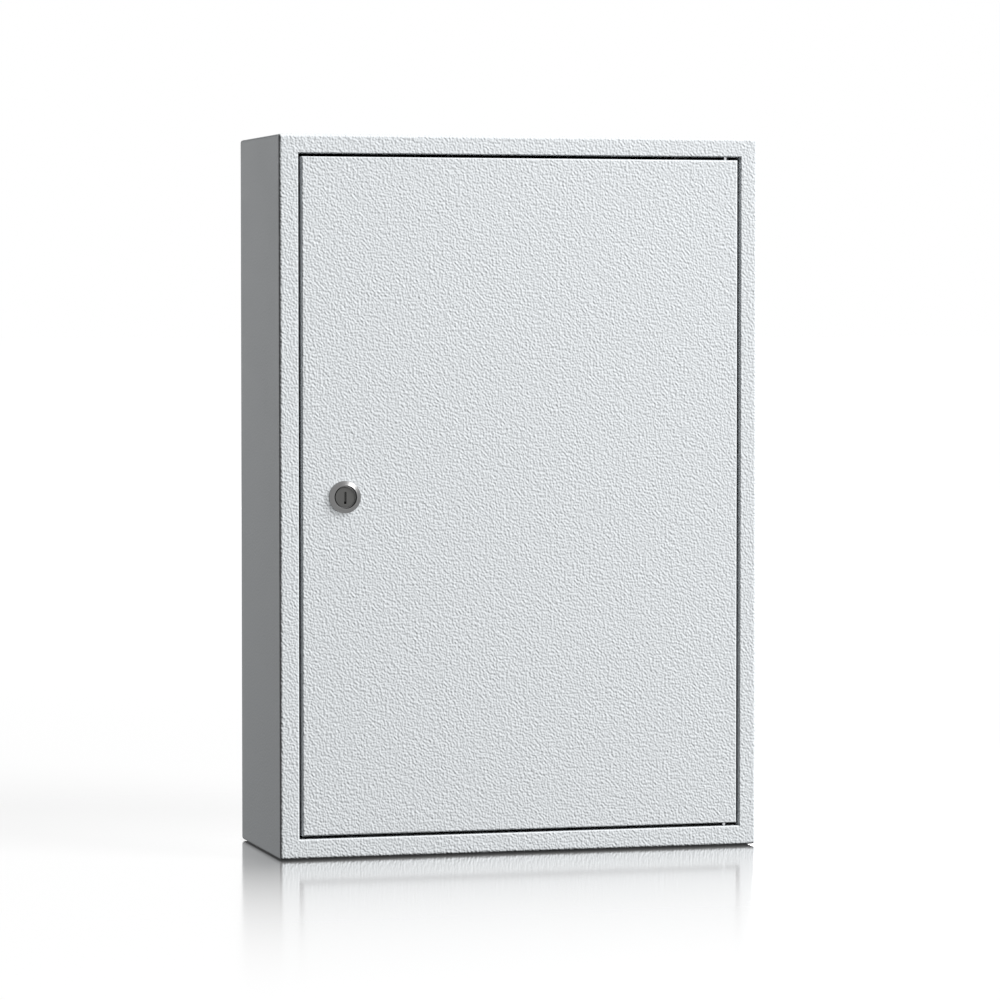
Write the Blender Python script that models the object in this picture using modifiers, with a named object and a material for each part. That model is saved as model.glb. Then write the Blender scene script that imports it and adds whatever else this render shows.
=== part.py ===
"""Wall key cabinet: a folded steel case and inset door on concealed pivots, a cam lock and numbered hook bars.

Metres, +Z up. The origin is the middle of the base of the whole object, and the door faces -Y. The door is
closed, and the cam hangs clear of the frame, which is the unlocked position.
"""

import math

import bmesh
import bpy
from mathutils import Matrix, Vector

MM = 0.001

# Clearances
SEAT = 0.3 * MM  # between two pieces that rest on each other
RUNNING = 0.3 * MM  # round a shaft in its bore, on the radius
OVERCUT = 2 * MM  # how far a cutter runs past the wall that it cuts

# Case, with its front frame folded from the same sheet
CASE_WIDTH = 380 * MM
CASE_HEIGHT = 550 * MM
CASE_DEPTH = 140 * MM
SHEET = 1 * MM
CASE_BEND = 2 * MM  # outer radius of a fold
FRAME_LEFT = 15 * MM
FRAME_RIGHT = 13.5 * MM
FRAME_TOP = 14.5 * MM
FRAME_BOTTOM = 15 * MM
FRAME_RETURN = 18 * MM  # the frame's fold into the case
FRAME_BEND = 1.6 * MM
STOP_LIP = 8 * MM  # turned into the opening on the lock side, which the door closes on
STOP_LIP_RELIEF = 6 * MM  # the corner left free at each end of the lip
BEND_SEGMENTS = 3

# Holes for the wall screws
WALL_HOLE = 8 * MM
WALL_HOLE_SIDE = 45 * MM  # from the case's side to the hole
HOLE_STEPS = 24

# Door, a pan with its edges folded back
DOOR_GAP = 2.5 * MM
DOOR_DEPTH = 15 * MM
DOOR_BEND = 1.4 * MM
DOOR_LIP = 8 * MM  # second fold on the lock side, which meets the bumpers
DOOR_LIP_RELIEF = 4 * MM

# Concealed pivots at the door's top and bottom
PIVOT_INSET = 8.7 * MM  # from the door's hinge edge to the axis
PIVOT_DEPTH = 5 * MM  # from the door's face to the axis
PIN_DIAMETER = 3 * MM
PIN_HEAD_HEIGHT = 1.6 * MM
PIN_TIP_CHAMFER = 0.5 * MM
PIN_PROUD = 1 * MM  # past the bush
BUSH_WALL = 0.6 * MM
BUSH_FLANGE_HEIGHT = 1.2 * MM
BUSH_NECK = 3 * MM  # past the flange
PIVOT_STEPS = 20

# Rubber bumpers pushed into the stop lip
BUMPER_DIAMETER = 7 * MM
BUMPER_EDGE = 0.5 * MM
BUMPER_STEM_DIAMETER = 3.4 * MM
BUMPER_BULB_DIAMETER = 5 * MM
BUMPER_BULB_LENGTH = 2 * MM
BUMPER_END = 70 * MM  # from the opening's end to the bumper
BUMPER_STEPS = 20

# Cam lock
LOCK_INSET = 32.8 * MM  # from the door's lock edge to the axis
LOCK_PROUD = 5 * MM
COLLAR_DIAMETER = 24.6 * MM
COLLAR_SIDE = 1 * MM  # the straight side below the bevel
RIM_DIAMETER = 19.6 * MM
RIM_BORE = 17.6 * MM
RIM_RECESS = 2 * MM  # from the rim to the plug's face
PLUG_FACE_DIAMETER = 15.4 * MM
PLUG_FACE_EDGE = 0.3 * MM
PLUG_HEAD_LENGTH = 3 * MM
PLUG_DIAMETER = 12 * MM
BARREL_DIAMETER = 18 * MM
BARREL_FLATS = 15.6 * MM
BARREL_CHAMFER = 0.6 * MM
KEYWAY_WIDTH = 1.8 * MM
KEYWAY_HEIGHT = 9.1 * MM
KEYWAY_DROP = 0.6 * MM  # the keyway's middle is this far below the axis
KEYWAY_DEPTH = 14 * MM
KEYWAY_GROOVE = 0.9 * MM  # depth of the groove in the keyway's side
KEYWAY_GROOVE_HEIGHT = 2.2 * MM
KEYWAY_GROOVE_RAISE = 2.2 * MM  # above the keyway's lower end
LOCK_WASHER_DIAMETER = 22 * MM
LOCK_WASHER_THICKNESS = 0.8 * MM
NUT_FLATS = 22 * MM
NUT_THICKNESS = 4 * MM
NUT_EDGE = 0.8 * MM
LOCK_STEPS = 48

# Cam and what holds it on the plug
CAM_CLEARANCE = 0.6 * MM  # behind the stop lip
CAM_THICKNESS = 2 * MM
CAM_HUB_WIDTH = 17 * MM
CAM_TIP_WIDTH = 12 * MM
CAM_OVERRUN = 3.5 * MM  # past the opening's edge when it is turned to lock
CAM_ARC_POINTS = 9
PLUG_TAIL_FLATS = 7 * MM
CAM_WASHER_DIAMETER = 11 * MM
CAM_WASHER_THICKNESS = 0.8 * MM
CAM_SCREW_DIAMETER = 4 * MM
CAM_SCREW_HEAD_DIAMETER = 8 * MM
CAM_SCREW_HEAD_HEIGHT = 2.6 * MM
CAM_SCREW_HEAD_EDGE = 0.9 * MM
CAM_SCREW_GRIP = 6 * MM  # in the plug
CAM_SCREW_DRIVE_WIDTH = 1 * MM
CAM_SCREW_DRIVE_DEPTH = 1.2 * MM
CAM_STEPS = 20

# Hook bars
ROW_PITCH = 50 * MM
TOP_ROW_DROP = 45 * MM  # from the case's top to the hooks of the top row
BOTTOM_ROW_LEAST = 40 * MM  # from the case's base to the hooks of the last row
BAR_SHEET = 1 * MM
BAR_HEIGHT = 30 * MM
BAR_TOP_FOLD = 7 * MM
BAR_BOTTOM_FOLD = 5 * MM
BAR_BEND = 1.6 * MM
BAND_DEPTH = 0.5 * MM  # the pressed band for the hook numbers
BAND_HEIGHT = 13 * MM
BAND_TOP_GAP = 3.5 * MM  # below the bar's top edge
BAR_SIDE_GAP = 17 * MM  # from the case's wall to the bar's end
BAR_STAND_OFF = 8 * MM  # from the uprights to the bar's face
BAR_ROOT_HEIGHT = 4 * MM  # the hooks' root above the bar's lower edge
HOOK_PITCH = 35 * MM
HOOK_END_LEAST = 12 * MM  # from the bar's end to the first hook
HOOK_WIDTH = 5 * MM
HOOK_THICKNESS = 1.2 * MM
HOOK_LENGTH = 24 * MM
HOOK_START_ANGLE = math.radians(4)  # above level, at the root
HOOK_END_ANGLE = math.radians(66)
HOOK_SEGMENTS = 5
SUNK_SHARE = 0.5  # of the bar's sheet, which the hooks' roots are sunk into

# Lugs at the bar's ends, which hang in the uprights' slots
LUG_EAR_HEIGHT = 20 * MM
LUG_NECK = 7 * MM  # height of the tongue through the slot
LUG_DROP = 3 * MM  # how far the tongue hooks down behind the upright
LUG_LENGTH = 2.5 * MM  # behind the upright

# Slotted uprights
UPRIGHT_WEB = 18 * MM
UPRIGHT_DEPTH = 12 * MM
UPRIGHT_FOOT = 6 * MM
UPRIGHT_BEND = 1.6 * MM
UPRIGHT_BELOW = 22 * MM  # past the bottom row's hooks
UPRIGHT_ABOVE = 11 * MM  # past the top bar
SLOT_WIDTH = 2.6 * MM
SLOTS_PER_ROW = 2
SLOT_CLEARANCE = 0.6 * MM  # above the lug

# Places that follow from the sizes
FRONT = (LOCK_PROUD - CASE_DEPTH) / 2  # the front face, with the whole object centred on Y
CASE_SIDE = CASE_WIDTH / 2
OPENING_LEFT = FRAME_LEFT - CASE_SIDE
OPENING_RIGHT = CASE_SIDE - FRAME_RIGHT
OPENING_BOTTOM = FRAME_BOTTOM
OPENING_TOP = CASE_HEIGHT - FRAME_TOP
DOOR_LEFT = OPENING_LEFT + DOOR_GAP
DOOR_RIGHT = OPENING_RIGHT - DOOR_GAP
DOOR_BOTTOM = OPENING_BOTTOM + DOOR_GAP
DOOR_TOP = OPENING_TOP - DOOR_GAP
PIVOT_X = DOOR_RIGHT - PIVOT_INSET
PIVOT_Y = FRONT + PIVOT_DEPTH
PIN_HEAD_RADIUS = PIVOT_DEPTH - DOOR_BEND  # as far as the fold behind the door's face
BUSH_FLANGE_RADIUS = PIVOT_DEPTH - FRAME_BEND  # as far as the fold behind the frame's face
LOCK_X = DOOR_LEFT + LOCK_INSET
LOCK_Z = (DOOR_BOTTOM + DOOR_TOP) / 2
CAM_FRONT = FRAME_RETURN + SHEET + CAM_CLEARANCE  # depth behind the front face
BARREL_END = CAM_FRONT - SEAT
CAM_REACH = LOCK_INSET + DOOR_GAP + CAM_OVERRUN
BAR_LENGTH = CASE_WIDTH - 2 * (SHEET + BAR_SIDE_GAP)
TOP_ROW = CASE_HEIGHT - TOP_ROW_DROP
ROW_COUNT = int((TOP_ROW - BOTTOM_ROW_LEAST) // ROW_PITCH) + 1
HOOK_COUNT = int((BAR_LENGTH - 2 * HOOK_END_LEAST) // HOOK_PITCH) + 1
BOTTOM_ROW = TOP_ROW - (ROW_COUNT - 1) * ROW_PITCH
BELOW_ROW = BAR_ROOT_HEIGHT + (ROW_PITCH - BAR_HEIGHT) / 2  # from a row down to the middle of the gap below it
UPRIGHT_FRONT = CASE_DEPTH - SHEET - SEAT - UPRIGHT_DEPTH  # depth behind the front face
BAR_FRONT = UPRIGHT_FRONT - SEAT - BAR_STAND_OFF
LUG_X = BAR_LENGTH / 2 - BAR_SHEET / 2  # the middle of the ear's sheet
SLOT_PITCH = ROW_PITCH / SLOTS_PER_ROW

ROUND_PROFILE_SHARE = 0.5  # Blender's bevel profile for a circular arc
SMOOTH_ANGLE = math.radians(35)
MERGE = 0.00001
OUT = Vector((0, -1, 0))
RIGHTWARD = Vector((1, 0, 0))
UPWARD = Vector((0, 0, 1))
FACING_OUT = Matrix.Rotation(math.radians(90), 4, "X")  # turns local +Z to the front and local +Y up


def clear_scene():
    for obj in list(bpy.data.objects):
        bpy.data.objects.remove(obj, do_unlink=True)


def make_collection(name, hidden=False):
    collection = bpy.data.collections.new(name)
    collection.hide_render = hidden
    bpy.context.scene.collection.children.link(collection)
    return collection


def make_material(name, color, roughness, metallic):
    material = bpy.data.materials.new(name)
    material.use_nodes = True
    shader = material.node_tree.nodes["Principled BSDF"]
    shader.inputs["Base Color"].default_value = (*color, 1)
    shader.inputs["Roughness"].default_value = roughness
    shader.inputs["Metallic"].default_value = metallic
    material.diffuse_color = (*color, 1)
    return material


def add_object(name, mesh, collection, material=None, smooth=False):
    """Links a mesh as an object. Round pieces are shaded smooth, with their real edges kept sharp."""
    obj = bpy.data.objects.new(name, mesh)
    collection.objects.link(obj)
    if material:
        obj.data.materials.clear()
        obj.data.materials.append(material)
    if smooth:
        mesh.shade_smooth()
        mesh.set_sharp_from_angle(angle=SMOOTH_ANGLE)
    return obj


def mesh_from(name, bm):
    mesh = bpy.data.meshes.new(name)
    bm.to_mesh(mesh)
    bm.free()
    return mesh


def add_box(bm, low, high):
    """A box between two corners."""
    low, high = Vector(low), Vector(high)
    size = high - low
    place = Matrix.Translation((low + high) / 2) @ Matrix.Diagonal((*size, 1))
    return bmesh.ops.create_cube(bm, size=1, matrix=place)["verts"]


def add_cylinder(bm, centre, axis, diameter, length, steps):
    """A closed cylinder centred on a point, along a unit axis."""
    place = Matrix.Translation(centre) @ axis.to_track_quat("Z", "Y").to_matrix().to_4x4()
    bmesh.ops.create_cone(
        bm,
        cap_ends=True,
        segments=steps,
        radius1=diameter / 2,
        radius2=diameter / 2,
        depth=length,
        matrix=place,
    )


def add_cutter(name, bm):
    """A helper that a Boolean cuts with. It isn't part of the cabinet."""
    bmesh.ops.recalc_face_normals(bm, faces=bm.faces[:])
    cutter = add_object(name, mesh_from(name, bm), CUTTERS)
    cutter.hide_render = True
    cutter.display_type = "WIRE"
    return cutter


def boolean(obj, other, operation="DIFFERENCE"):
    modifier = obj.modifiers.new(other.name, "BOOLEAN")
    modifier.operation = operation
    modifier.solver = "EXACT"
    modifier.object = other


def finish_mesh(obj, name):
    """The object's mesh with its modifiers applied, and the object and its mesh removed."""
    bpy.context.view_layer.update()
    evaluated = obj.evaluated_get(bpy.context.evaluated_depsgraph_get())
    mesh = bpy.data.meshes.new_from_object(evaluated)
    mesh.name = name
    bpy.data.objects.remove(obj, do_unlink=True)
    return mesh


def solid_from_curve(curve, name):
    """A curve's mesh with its loose caps welded, and the curve removed."""
    mesh = finish_mesh(curve, name)
    bm = bmesh.new()
    bm.from_mesh(mesh)
    bmesh.ops.remove_doubles(bm, verts=bm.verts[:], dist=MERGE)
    bmesh.ops.recalc_face_normals(bm, faces=bm.faces[:])
    bm.to_mesh(mesh)
    bm.free()
    return mesh


def flat_curve(name, outlines, thickness):
    """A plate in its local XY plane: the first outline is its edge, and the others are its holes."""
    curve = bpy.data.curves.new(name, "CURVE")
    curve.dimensions = "2D"
    curve.fill_mode = "BOTH"
    curve.extrude = thickness / 2
    for outline in outlines:
        spline = curve.splines.new("POLY")
        spline.points.add(len(outline) - 1)
        for point, (x, y) in zip(spline.points, outline):
            point.co = (x, y, 0, 1)
        spline.use_cyclic_u = True
    obj = bpy.data.objects.new(name, curve)
    CUTTERS.objects.link(obj)
    obj.hide_render = True
    return obj


def turned(name, profile, steps, closed, material):
    """A turned piece about its local Z. The profile lists (radius, height) down its outer side."""
    mesh = bpy.data.meshes.new(name)
    count = len(profile)
    edges = [(i, i + 1) for i in range(count - 1)]
    if closed:
        edges.append((count - 1, 0))
    mesh.from_pydata([(radius, 0, height) for radius, height in profile], edges, [])
    obj = add_object(name, mesh, CABINET, material)
    screw = obj.modifiers.new("turn", "SCREW")
    screw.steps = screw.render_steps = steps
    screw.use_merge_vertices = True
    screw.merge_threshold = MERGE
    screw.use_smooth_shade = True
    return obj


def solidify(obj, thickness):
    """Gives an open folded surface its sheet thickness, away from the side that shows."""
    modifier = obj.modifiers.new("sheet", "SOLIDIFY")
    modifier.thickness = thickness
    modifier.offset = -1
    modifier.use_even_offset = True
    modifier.use_quality_normals = True
    modifier.use_rim = True


def round_edges(bm, edges, radius):
    bmesh.ops.bevel(
        bm,
        geom=list(edges),
        offset=radius,
        offset_type="OFFSET",
        segments=BEND_SEGMENTS,
        profile=ROUND_PROFILE_SHARE,
        affect="EDGES",
    )


def largest_facing(bm, direction):
    """The largest face whose normal points this way."""
    bm.normal_update()
    return max(bm.faces, key=lambda face: face.normal.dot(direction) * face.calc_area())


def edge_at(bm, axis, value, other_axis, other_value):
    """The longest edge whose two ends lie at these values of two axes."""
    found = [
        edge
        for edge in bm.edges
        if all(
            abs(vert.co[axis] - value) < MERGE and abs(vert.co[other_axis] - other_value) < MERGE
            for vert in edge.verts
        )
    ]
    return max(found, key=lambda edge: edge.calc_length())


def add_lip(bm, x, y, width, relief):
    """Turns a lip inwards from the upright edge at x, y, and stops it short of both corners."""
    edge = edge_at(bm, 0, x, 1, y)
    lower, upper = sorted(edge.verts, key=lambda vert: vert.co.z)
    share = relief / edge.calc_length()
    edge, start = bmesh.utils.edge_split(edge, lower, share)
    rest = next(link for link in start.link_edges if upper in link.verts)
    share = relief / rest.calc_length()
    rest, end = bmesh.utils.edge_split(rest, upper, share)
    middle = next(link for link in start.link_edges if end in link.verts)
    made = bmesh.ops.extrude_edge_only(bm, edges=[middle])["geom"]
    verts = [item for item in made if isinstance(item, bmesh.types.BMVert)]
    bmesh.ops.translate(bm, verts=verts, vec=RIGHTWARD * width)


def make_case_shell(material):
    """The welded case: walls, back, and the front frame folded into the opening."""
    bm = bmesh.new()
    add_box(bm, (-CASE_SIDE, FRONT, 0), (CASE_SIDE, FRONT + CASE_DEPTH, CASE_HEIGHT))
    round_edges(bm, bm.edges[:], CASE_BEND)

    # The opening: an inset of the front face, with the frame's four widths
    opening = largest_facing(bm, OUT)
    bmesh.ops.inset_individual(bm, faces=[opening], thickness=FRAME_TOP)
    for vert in opening.verts:
        vert.co.x = OPENING_LEFT if vert.co.x < 0 else OPENING_RIGHT
        vert.co.z = OPENING_BOTTOM if vert.co.z < CASE_HEIGHT / 2 else OPENING_TOP
    frame_edges = opening.edges[:]
    inner = bmesh.ops.extrude_discrete_faces(bm, faces=[opening])["faces"]
    bmesh.ops.translate(bm, verts=inner[0].verts[:], vec=-OUT * FRAME_RETURN)
    bmesh.ops.delete(bm, geom=inner, context="FACES_ONLY")
    add_lip(bm, OPENING_LEFT, FRONT + FRAME_RETURN, STOP_LIP, STOP_LIP_RELIEF)
    frame_edges = [edge for edge in frame_edges if edge.is_valid]
    round_edges(bm, frame_edges, FRAME_BEND)

    case = add_object("case_shell", mesh_from("case_shell", bm), CABINET, material, smooth=True)
    solidify(case, SHEET)
    cut_case_holes(case)
    return case


def cut_case_holes(case):
    """Holes for the wall screws, below the first and last bars, and for the pivot bushes and the bumpers."""
    back = bmesh.new()
    for x in (-CASE_SIDE + WALL_HOLE_SIDE, CASE_SIDE - WALL_HOLE_SIDE):
        for z in (BOTTOM_ROW - BELOW_ROW, TOP_ROW - BELOW_ROW):
            centre = Vector((x, FRONT + CASE_DEPTH, z))
            add_cylinder(back, centre, OUT, WALL_HOLE, 2 * (SHEET + OVERCUT), HOLE_STEPS)
    boolean(case, add_cutter("wall_holes", back))

    bush_hole = PIN_DIAMETER + 2 * (RUNNING + BUSH_WALL + SEAT)
    pivots = bmesh.new()
    for z in (OPENING_BOTTOM - SHEET / 2, OPENING_TOP + SHEET / 2):
        centre = Vector((PIVOT_X, PIVOT_Y, z))
        add_cylinder(pivots, centre, Vector((0, 0, 1)), bush_hole, SHEET + OVERCUT, PIVOT_STEPS)
    boolean(case, add_cutter("bush_holes", pivots))

    stem_hole = BUMPER_STEM_DIAMETER + 2 * SEAT
    bumpers = bmesh.new()
    for z in bumper_heights():
        centre = Vector((bumper_x(), FRONT + FRAME_RETURN + SHEET / 2, z))
        add_cylinder(bumpers, centre, OUT, stem_hole, SHEET + OVERCUT, BUMPER_STEPS)
    boolean(case, add_cutter("bumper_holes", bumpers))


def bumper_x():
    return OPENING_LEFT + STOP_LIP / 2


def bumper_heights():
    return OPENING_BOTTOM + BUMPER_END, OPENING_TOP - BUMPER_END


def make_door_pan(material, pivot):
    """The door's skin with its folded edges, and holes for the lock and the pivot pins."""
    bm = bmesh.new()
    low = (DOOR_LEFT, FRONT, DOOR_BOTTOM)
    high = (DOOR_RIGHT, FRONT + DOOR_DEPTH, DOOR_TOP)
    add_box(bm, low, high)
    bmesh.ops.delete(bm, geom=[largest_facing(bm, -OUT)], context="FACES_ONLY")
    add_lip(bm, DOOR_LEFT, FRONT + DOOR_DEPTH, DOOR_LIP, DOOR_LIP_RELIEF)
    round_edges(bm, largest_facing(bm, OUT).edges[:], DOOR_BEND)

    door = add_object("door_pan", mesh_from("door_pan", bm), CABINET, material, smooth=True)
    solidify(door, SHEET)

    lock = bmesh.new()
    centre = Vector((LOCK_X, FRONT + SHEET / 2, LOCK_Z))
    add_cylinder(lock, centre, OUT, BARREL_DIAMETER + 2 * SEAT, SHEET + OVERCUT, LOCK_STEPS)
    barrel = add_cutter("lock_hole", lock)
    flats = bmesh.new()
    half = Vector(((BARREL_FLATS + 2 * SEAT) / 2, SHEET + OVERCUT, BARREL_DIAMETER))
    add_box(flats, centre - half, centre + half)
    boolean(barrel, add_cutter("lock_hole_flats", flats), "INTERSECT")
    boolean(door, barrel)

    pins = bmesh.new()
    for z in (DOOR_BOTTOM + SHEET / 2, DOOR_TOP - SHEET / 2):
        centre = Vector((PIVOT_X, PIVOT_Y, z))
        add_cylinder(pins, centre, Vector((0, 0, 1)), PIN_DIAMETER + 2 * SEAT, SHEET + OVERCUT, PIVOT_STEPS)
    boolean(door, add_cutter("pin_holes", pins))
    carry(door, pivot)
    return door


def carry(obj, parent):
    """Parents an object and keeps it where it is."""
    obj.parent = parent
    obj.matrix_parent_inverse = parent.matrix_world.inverted()


def make_axis(name, place, parent=None):
    """An empty on a joint's axis, which carries what turns there."""
    axis = bpy.data.objects.new(name, None)
    CABINET.objects.link(axis)
    axis.location = place
    bpy.context.view_layer.update()
    if parent:
        carry(axis, parent)
        bpy.context.view_layer.update()
    return axis


def bush_length():
    """From the opening's edge to the end of the bush's neck, inside the frame."""
    return SHEET + SEAT + BUSH_FLANGE_HEIGHT + BUSH_NECK


def make_pivot_bush(name, z, turn, material):
    """A flanged nylon bush in the frame's fold. Its height is measured from the opening's edge."""
    bore = PIN_DIAMETER / 2 + RUNNING
    neck = bore + BUSH_WALL
    flange = BUSH_FLANGE_RADIUS
    seat = SHEET + SEAT
    profile = (
        (bore, bush_length()),
        (neck, bush_length()),
        (neck, seat + BUSH_FLANGE_HEIGHT),
        (flange, seat + BUSH_FLANGE_HEIGHT),
        (flange, seat),
        (neck, seat),
        (neck, 0),
        (bore, 0),
    )
    bush = turned(name, profile, PIVOT_STEPS, True, material)
    bush.location = (PIVOT_X, PIVOT_Y, z)
    bush.rotation_euler = (turn, 0, 0)
    return bush


def make_pivot_pin(name, z, turn, material, pivot):
    """A headed pin from inside the door's fold, through the gap, into the bush."""
    radius = PIN_DIAMETER / 2
    head_top = -SHEET - SEAT
    tip = DOOR_GAP + bush_length() + PIN_PROUD
    profile = (
        (0, tip),
        (radius - PIN_TIP_CHAMFER, tip),
        (radius, tip - PIN_TIP_CHAMFER),
        (radius, head_top),
        (PIN_HEAD_RADIUS, head_top),
        (PIN_HEAD_RADIUS, head_top - PIN_HEAD_HEIGHT),
        (0, head_top - PIN_HEAD_HEIGHT),
    )
    pin = turned(name, profile, PIVOT_STEPS, False, material)
    pin.location = (PIVOT_X, PIVOT_Y, z)
    pin.rotation_euler = (turn, 0, 0)
    bpy.context.view_layer.update()
    carry(pin, pivot)
    return pin


def make_bumper(name, z, material):
    """A push-in bumper: a flat head on the lip, a stem through it and a bulb behind."""
    head = BUMPER_DIAMETER / 2
    stem = BUMPER_STEM_DIAMETER / 2
    bulb = BUMPER_BULB_DIAMETER / 2
    face = FRAME_RETURN - DOOR_DEPTH - SEAT  # above the lip's front
    behind = -SHEET - SEAT
    profile = (
        (0, face),
        (head - BUMPER_EDGE, face),
        (head, face - BUMPER_EDGE),
        (head, SEAT),
        (stem, SEAT),
        (stem, behind),
        (bulb, behind),
        (stem, behind - BUMPER_BULB_LENGTH),
        (0, behind - BUMPER_BULB_LENGTH),
    )
    bumper = turned(name, profile, BUMPER_STEPS, False, material)
    bumper.location = (bumper_x(), FRONT + FRAME_RETURN, z)
    bumper.rotation_euler = FACING_OUT.to_euler()
    return bumper


def place_on_lock(obj, carrier):
    """Puts a piece made about local Z on the lock's axis, with local Z towards the front."""
    obj.location = (LOCK_X, FRONT, LOCK_Z)
    obj.rotation_euler = FACING_OUT.to_euler()
    bpy.context.view_layer.update()
    carry(obj, carrier)
    return obj


def plug_head_seat():
    """Height of the step that the plug's head runs on, above the door's face."""
    return LOCK_PROUD - RIM_RECESS - PLUG_HEAD_LENGTH - SEAT


def make_lock_housing(material, door_pivot):
    """The bevelled collar and the barrel with its two flats, bored for the plug."""
    barrel = BARREL_DIAMETER / 2
    bore = PLUG_DIAMETER / 2 + RUNNING
    profile = (
        (RIM_BORE / 2, LOCK_PROUD),
        (RIM_DIAMETER / 2, LOCK_PROUD),
        (COLLAR_DIAMETER / 2, SEAT + COLLAR_SIDE),
        (COLLAR_DIAMETER / 2, SEAT),
        (barrel, SEAT),
        (barrel, BARREL_CHAMFER - BARREL_END),
        (barrel - BARREL_CHAMFER, -BARREL_END),
        (bore, -BARREL_END),
        (bore, plug_head_seat()),
        (RIM_BORE / 2, plug_head_seat()),
    )
    housing = turned("lock_housing", profile, LOCK_STEPS, True, material)
    flats = bmesh.new()
    for side in (-1, 1):
        near = side * BARREL_FLATS / 2
        far = side * BARREL_DIAMETER
        low = (min(near, far), -BARREL_DIAMETER, -BARREL_END - OVERCUT)
        high = (max(near, far), BARREL_DIAMETER, SEAT)
        add_box(flats, low, high)
    cutter = add_cutter("barrel_flats", flats)
    boolean(housing, cutter)
    place_on_lock(cutter, door_pivot)
    return place_on_lock(housing, door_pivot)


def make_lock_washer(material, door_pivot):
    bore = BARREL_DIAMETER / 2 + SEAT
    top = -SHEET - SEAT
    profile = (
        (bore, top),
        (LOCK_WASHER_DIAMETER / 2, top),
        (LOCK_WASHER_DIAMETER / 2, top - LOCK_WASHER_THICKNESS),
        (bore, top - LOCK_WASHER_THICKNESS),
    )
    washer = turned("lock_washer", profile, LOCK_STEPS, True, material)
    return place_on_lock(washer, door_pivot)


def make_lock_nut(material, door_pivot):
    """The hexagon nut that clamps the lock in the door, with its corners chamfered."""
    top = -SHEET - SEAT - LOCK_WASHER_THICKNESS - SEAT
    middle = top - NUT_THICKNESS / 2
    corner = NUT_FLATS / math.cos(math.radians(30))
    bm = bmesh.new()
    add_cylinder(bm, Vector((0, 0, middle)), Vector((0, 0, 1)), corner, NUT_THICKNESS, 6)
    nut = add_object("lock_nut", mesh_from("lock_nut", bm), CABINET, material)

    bore = bmesh.new()
    bore_diameter = BARREL_DIAMETER + 2 * SEAT
    bore_length = NUT_THICKNESS + OVERCUT
    add_cylinder(bore, Vector((0, 0, middle)), Vector((0, 0, 1)), bore_diameter, bore_length, LOCK_STEPS)
    bore_cutter = add_cutter("nut_bore", bore)

    # A double cone whose flanks take the hexagon's corners off
    half = NUT_THICKNESS / 2
    waist = corner / 2
    profile = (
        (0, middle + half + OVERCUT),
        (waist - NUT_EDGE - OVERCUT, middle + half + OVERCUT),
        (waist, middle + half - NUT_EDGE),
        (waist, middle - half + NUT_EDGE),
        (waist - NUT_EDGE - OVERCUT, middle - half - OVERCUT),
        (0, middle - half - OVERCUT),
    )
    flanks = turned("nut_chamfer", profile, LOCK_STEPS, False, None)
    CABINET.objects.unlink(flanks)
    CUTTERS.objects.link(flanks)
    flanks.hide_render = True
    flanks.display_type = "WIRE"
    boolean(nut, flanks, "INTERSECT")
    boolean(nut, bore_cutter)
    for helper in (bore_cutter, flanks):
        place_on_lock(helper, door_pivot)
    return place_on_lock(nut, door_pivot)


def make_lock_plug(material, cylinder_axis):
    """The plug that the key turns: its face with the keyway, its body, and the square tail for the cam."""
    face = LOCK_PROUD - RIM_RECESS
    head = PLUG_FACE_DIAMETER / 2
    body = PLUG_DIAMETER / 2
    tail_end = -(CAM_FRONT + CAM_THICKNESS)
    profile = (
        (0, face),
        (head - PLUG_FACE_EDGE, face),
        (head, face - PLUG_FACE_EDGE),
        (head, face - PLUG_HEAD_LENGTH),
        (body, face - PLUG_HEAD_LENGTH),
        (body, -BARREL_END),
        (0, -BARREL_END),
    )
    plug = turned("lock_plug", profile, LOCK_STEPS, False, material)

    tail = bmesh.new()
    half = PLUG_TAIL_FLATS / 2
    add_box(tail, (-half, -half, tail_end), (half, half, -BARREL_END + OVERCUT))
    tail_piece = add_cutter("plug_tail", tail)
    boolean(plug, tail_piece, "UNION")

    keyway = bmesh.new()
    half_width = KEYWAY_WIDTH / 2
    lower = -KEYWAY_DROP - KEYWAY_HEIGHT / 2
    upper = lower + KEYWAY_HEIGHT
    add_box(keyway, (-half_width, lower, face - KEYWAY_DEPTH), (half_width, upper, face + OVERCUT))
    keyway_cutter = add_cutter("keyway", keyway)
    boolean(plug, keyway_cutter)

    groove = bmesh.new()
    groove_bottom = lower + KEYWAY_GROOVE_RAISE
    groove_low = (-half_width - KEYWAY_GROOVE, groove_bottom, face - KEYWAY_DEPTH)
    groove_high = (0, groove_bottom + KEYWAY_GROOVE_HEIGHT, face + OVERCUT)
    add_box(groove, groove_low, groove_high)
    groove_cutter = add_cutter("keyway_groove", groove)
    boolean(plug, groove_cutter)

    screw_hole = bmesh.new()
    hole_length = CAM_SCREW_GRIP + CAM_THICKNESS + OVERCUT
    hole_middle = tail_end - OVERCUT + hole_length / 2
    diameter = CAM_SCREW_DIAMETER + 2 * SEAT
    add_cylinder(screw_hole, Vector((0, 0, hole_middle)), Vector((0, 0, 1)), diameter, hole_length, CAM_STEPS)
    screw_cutter = add_cutter("plug_screw_hole", screw_hole)
    boolean(plug, screw_cutter)

    for helper in (tail_piece, keyway_cutter, groove_cutter, screw_cutter):
        place_on_lock(helper, cylinder_axis)
    return place_on_lock(plug, cylinder_axis)


def arc_points(centre, radius, start, end, count):
    """Points along an arc, from one angle to another."""
    cx, cy = centre
    step = (end - start) / (count - 1)
    angles = [start + step * i for i in range(count)]
    return [(cx + radius * math.cos(a), cy + radius * math.sin(a)) for a in angles]


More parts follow.
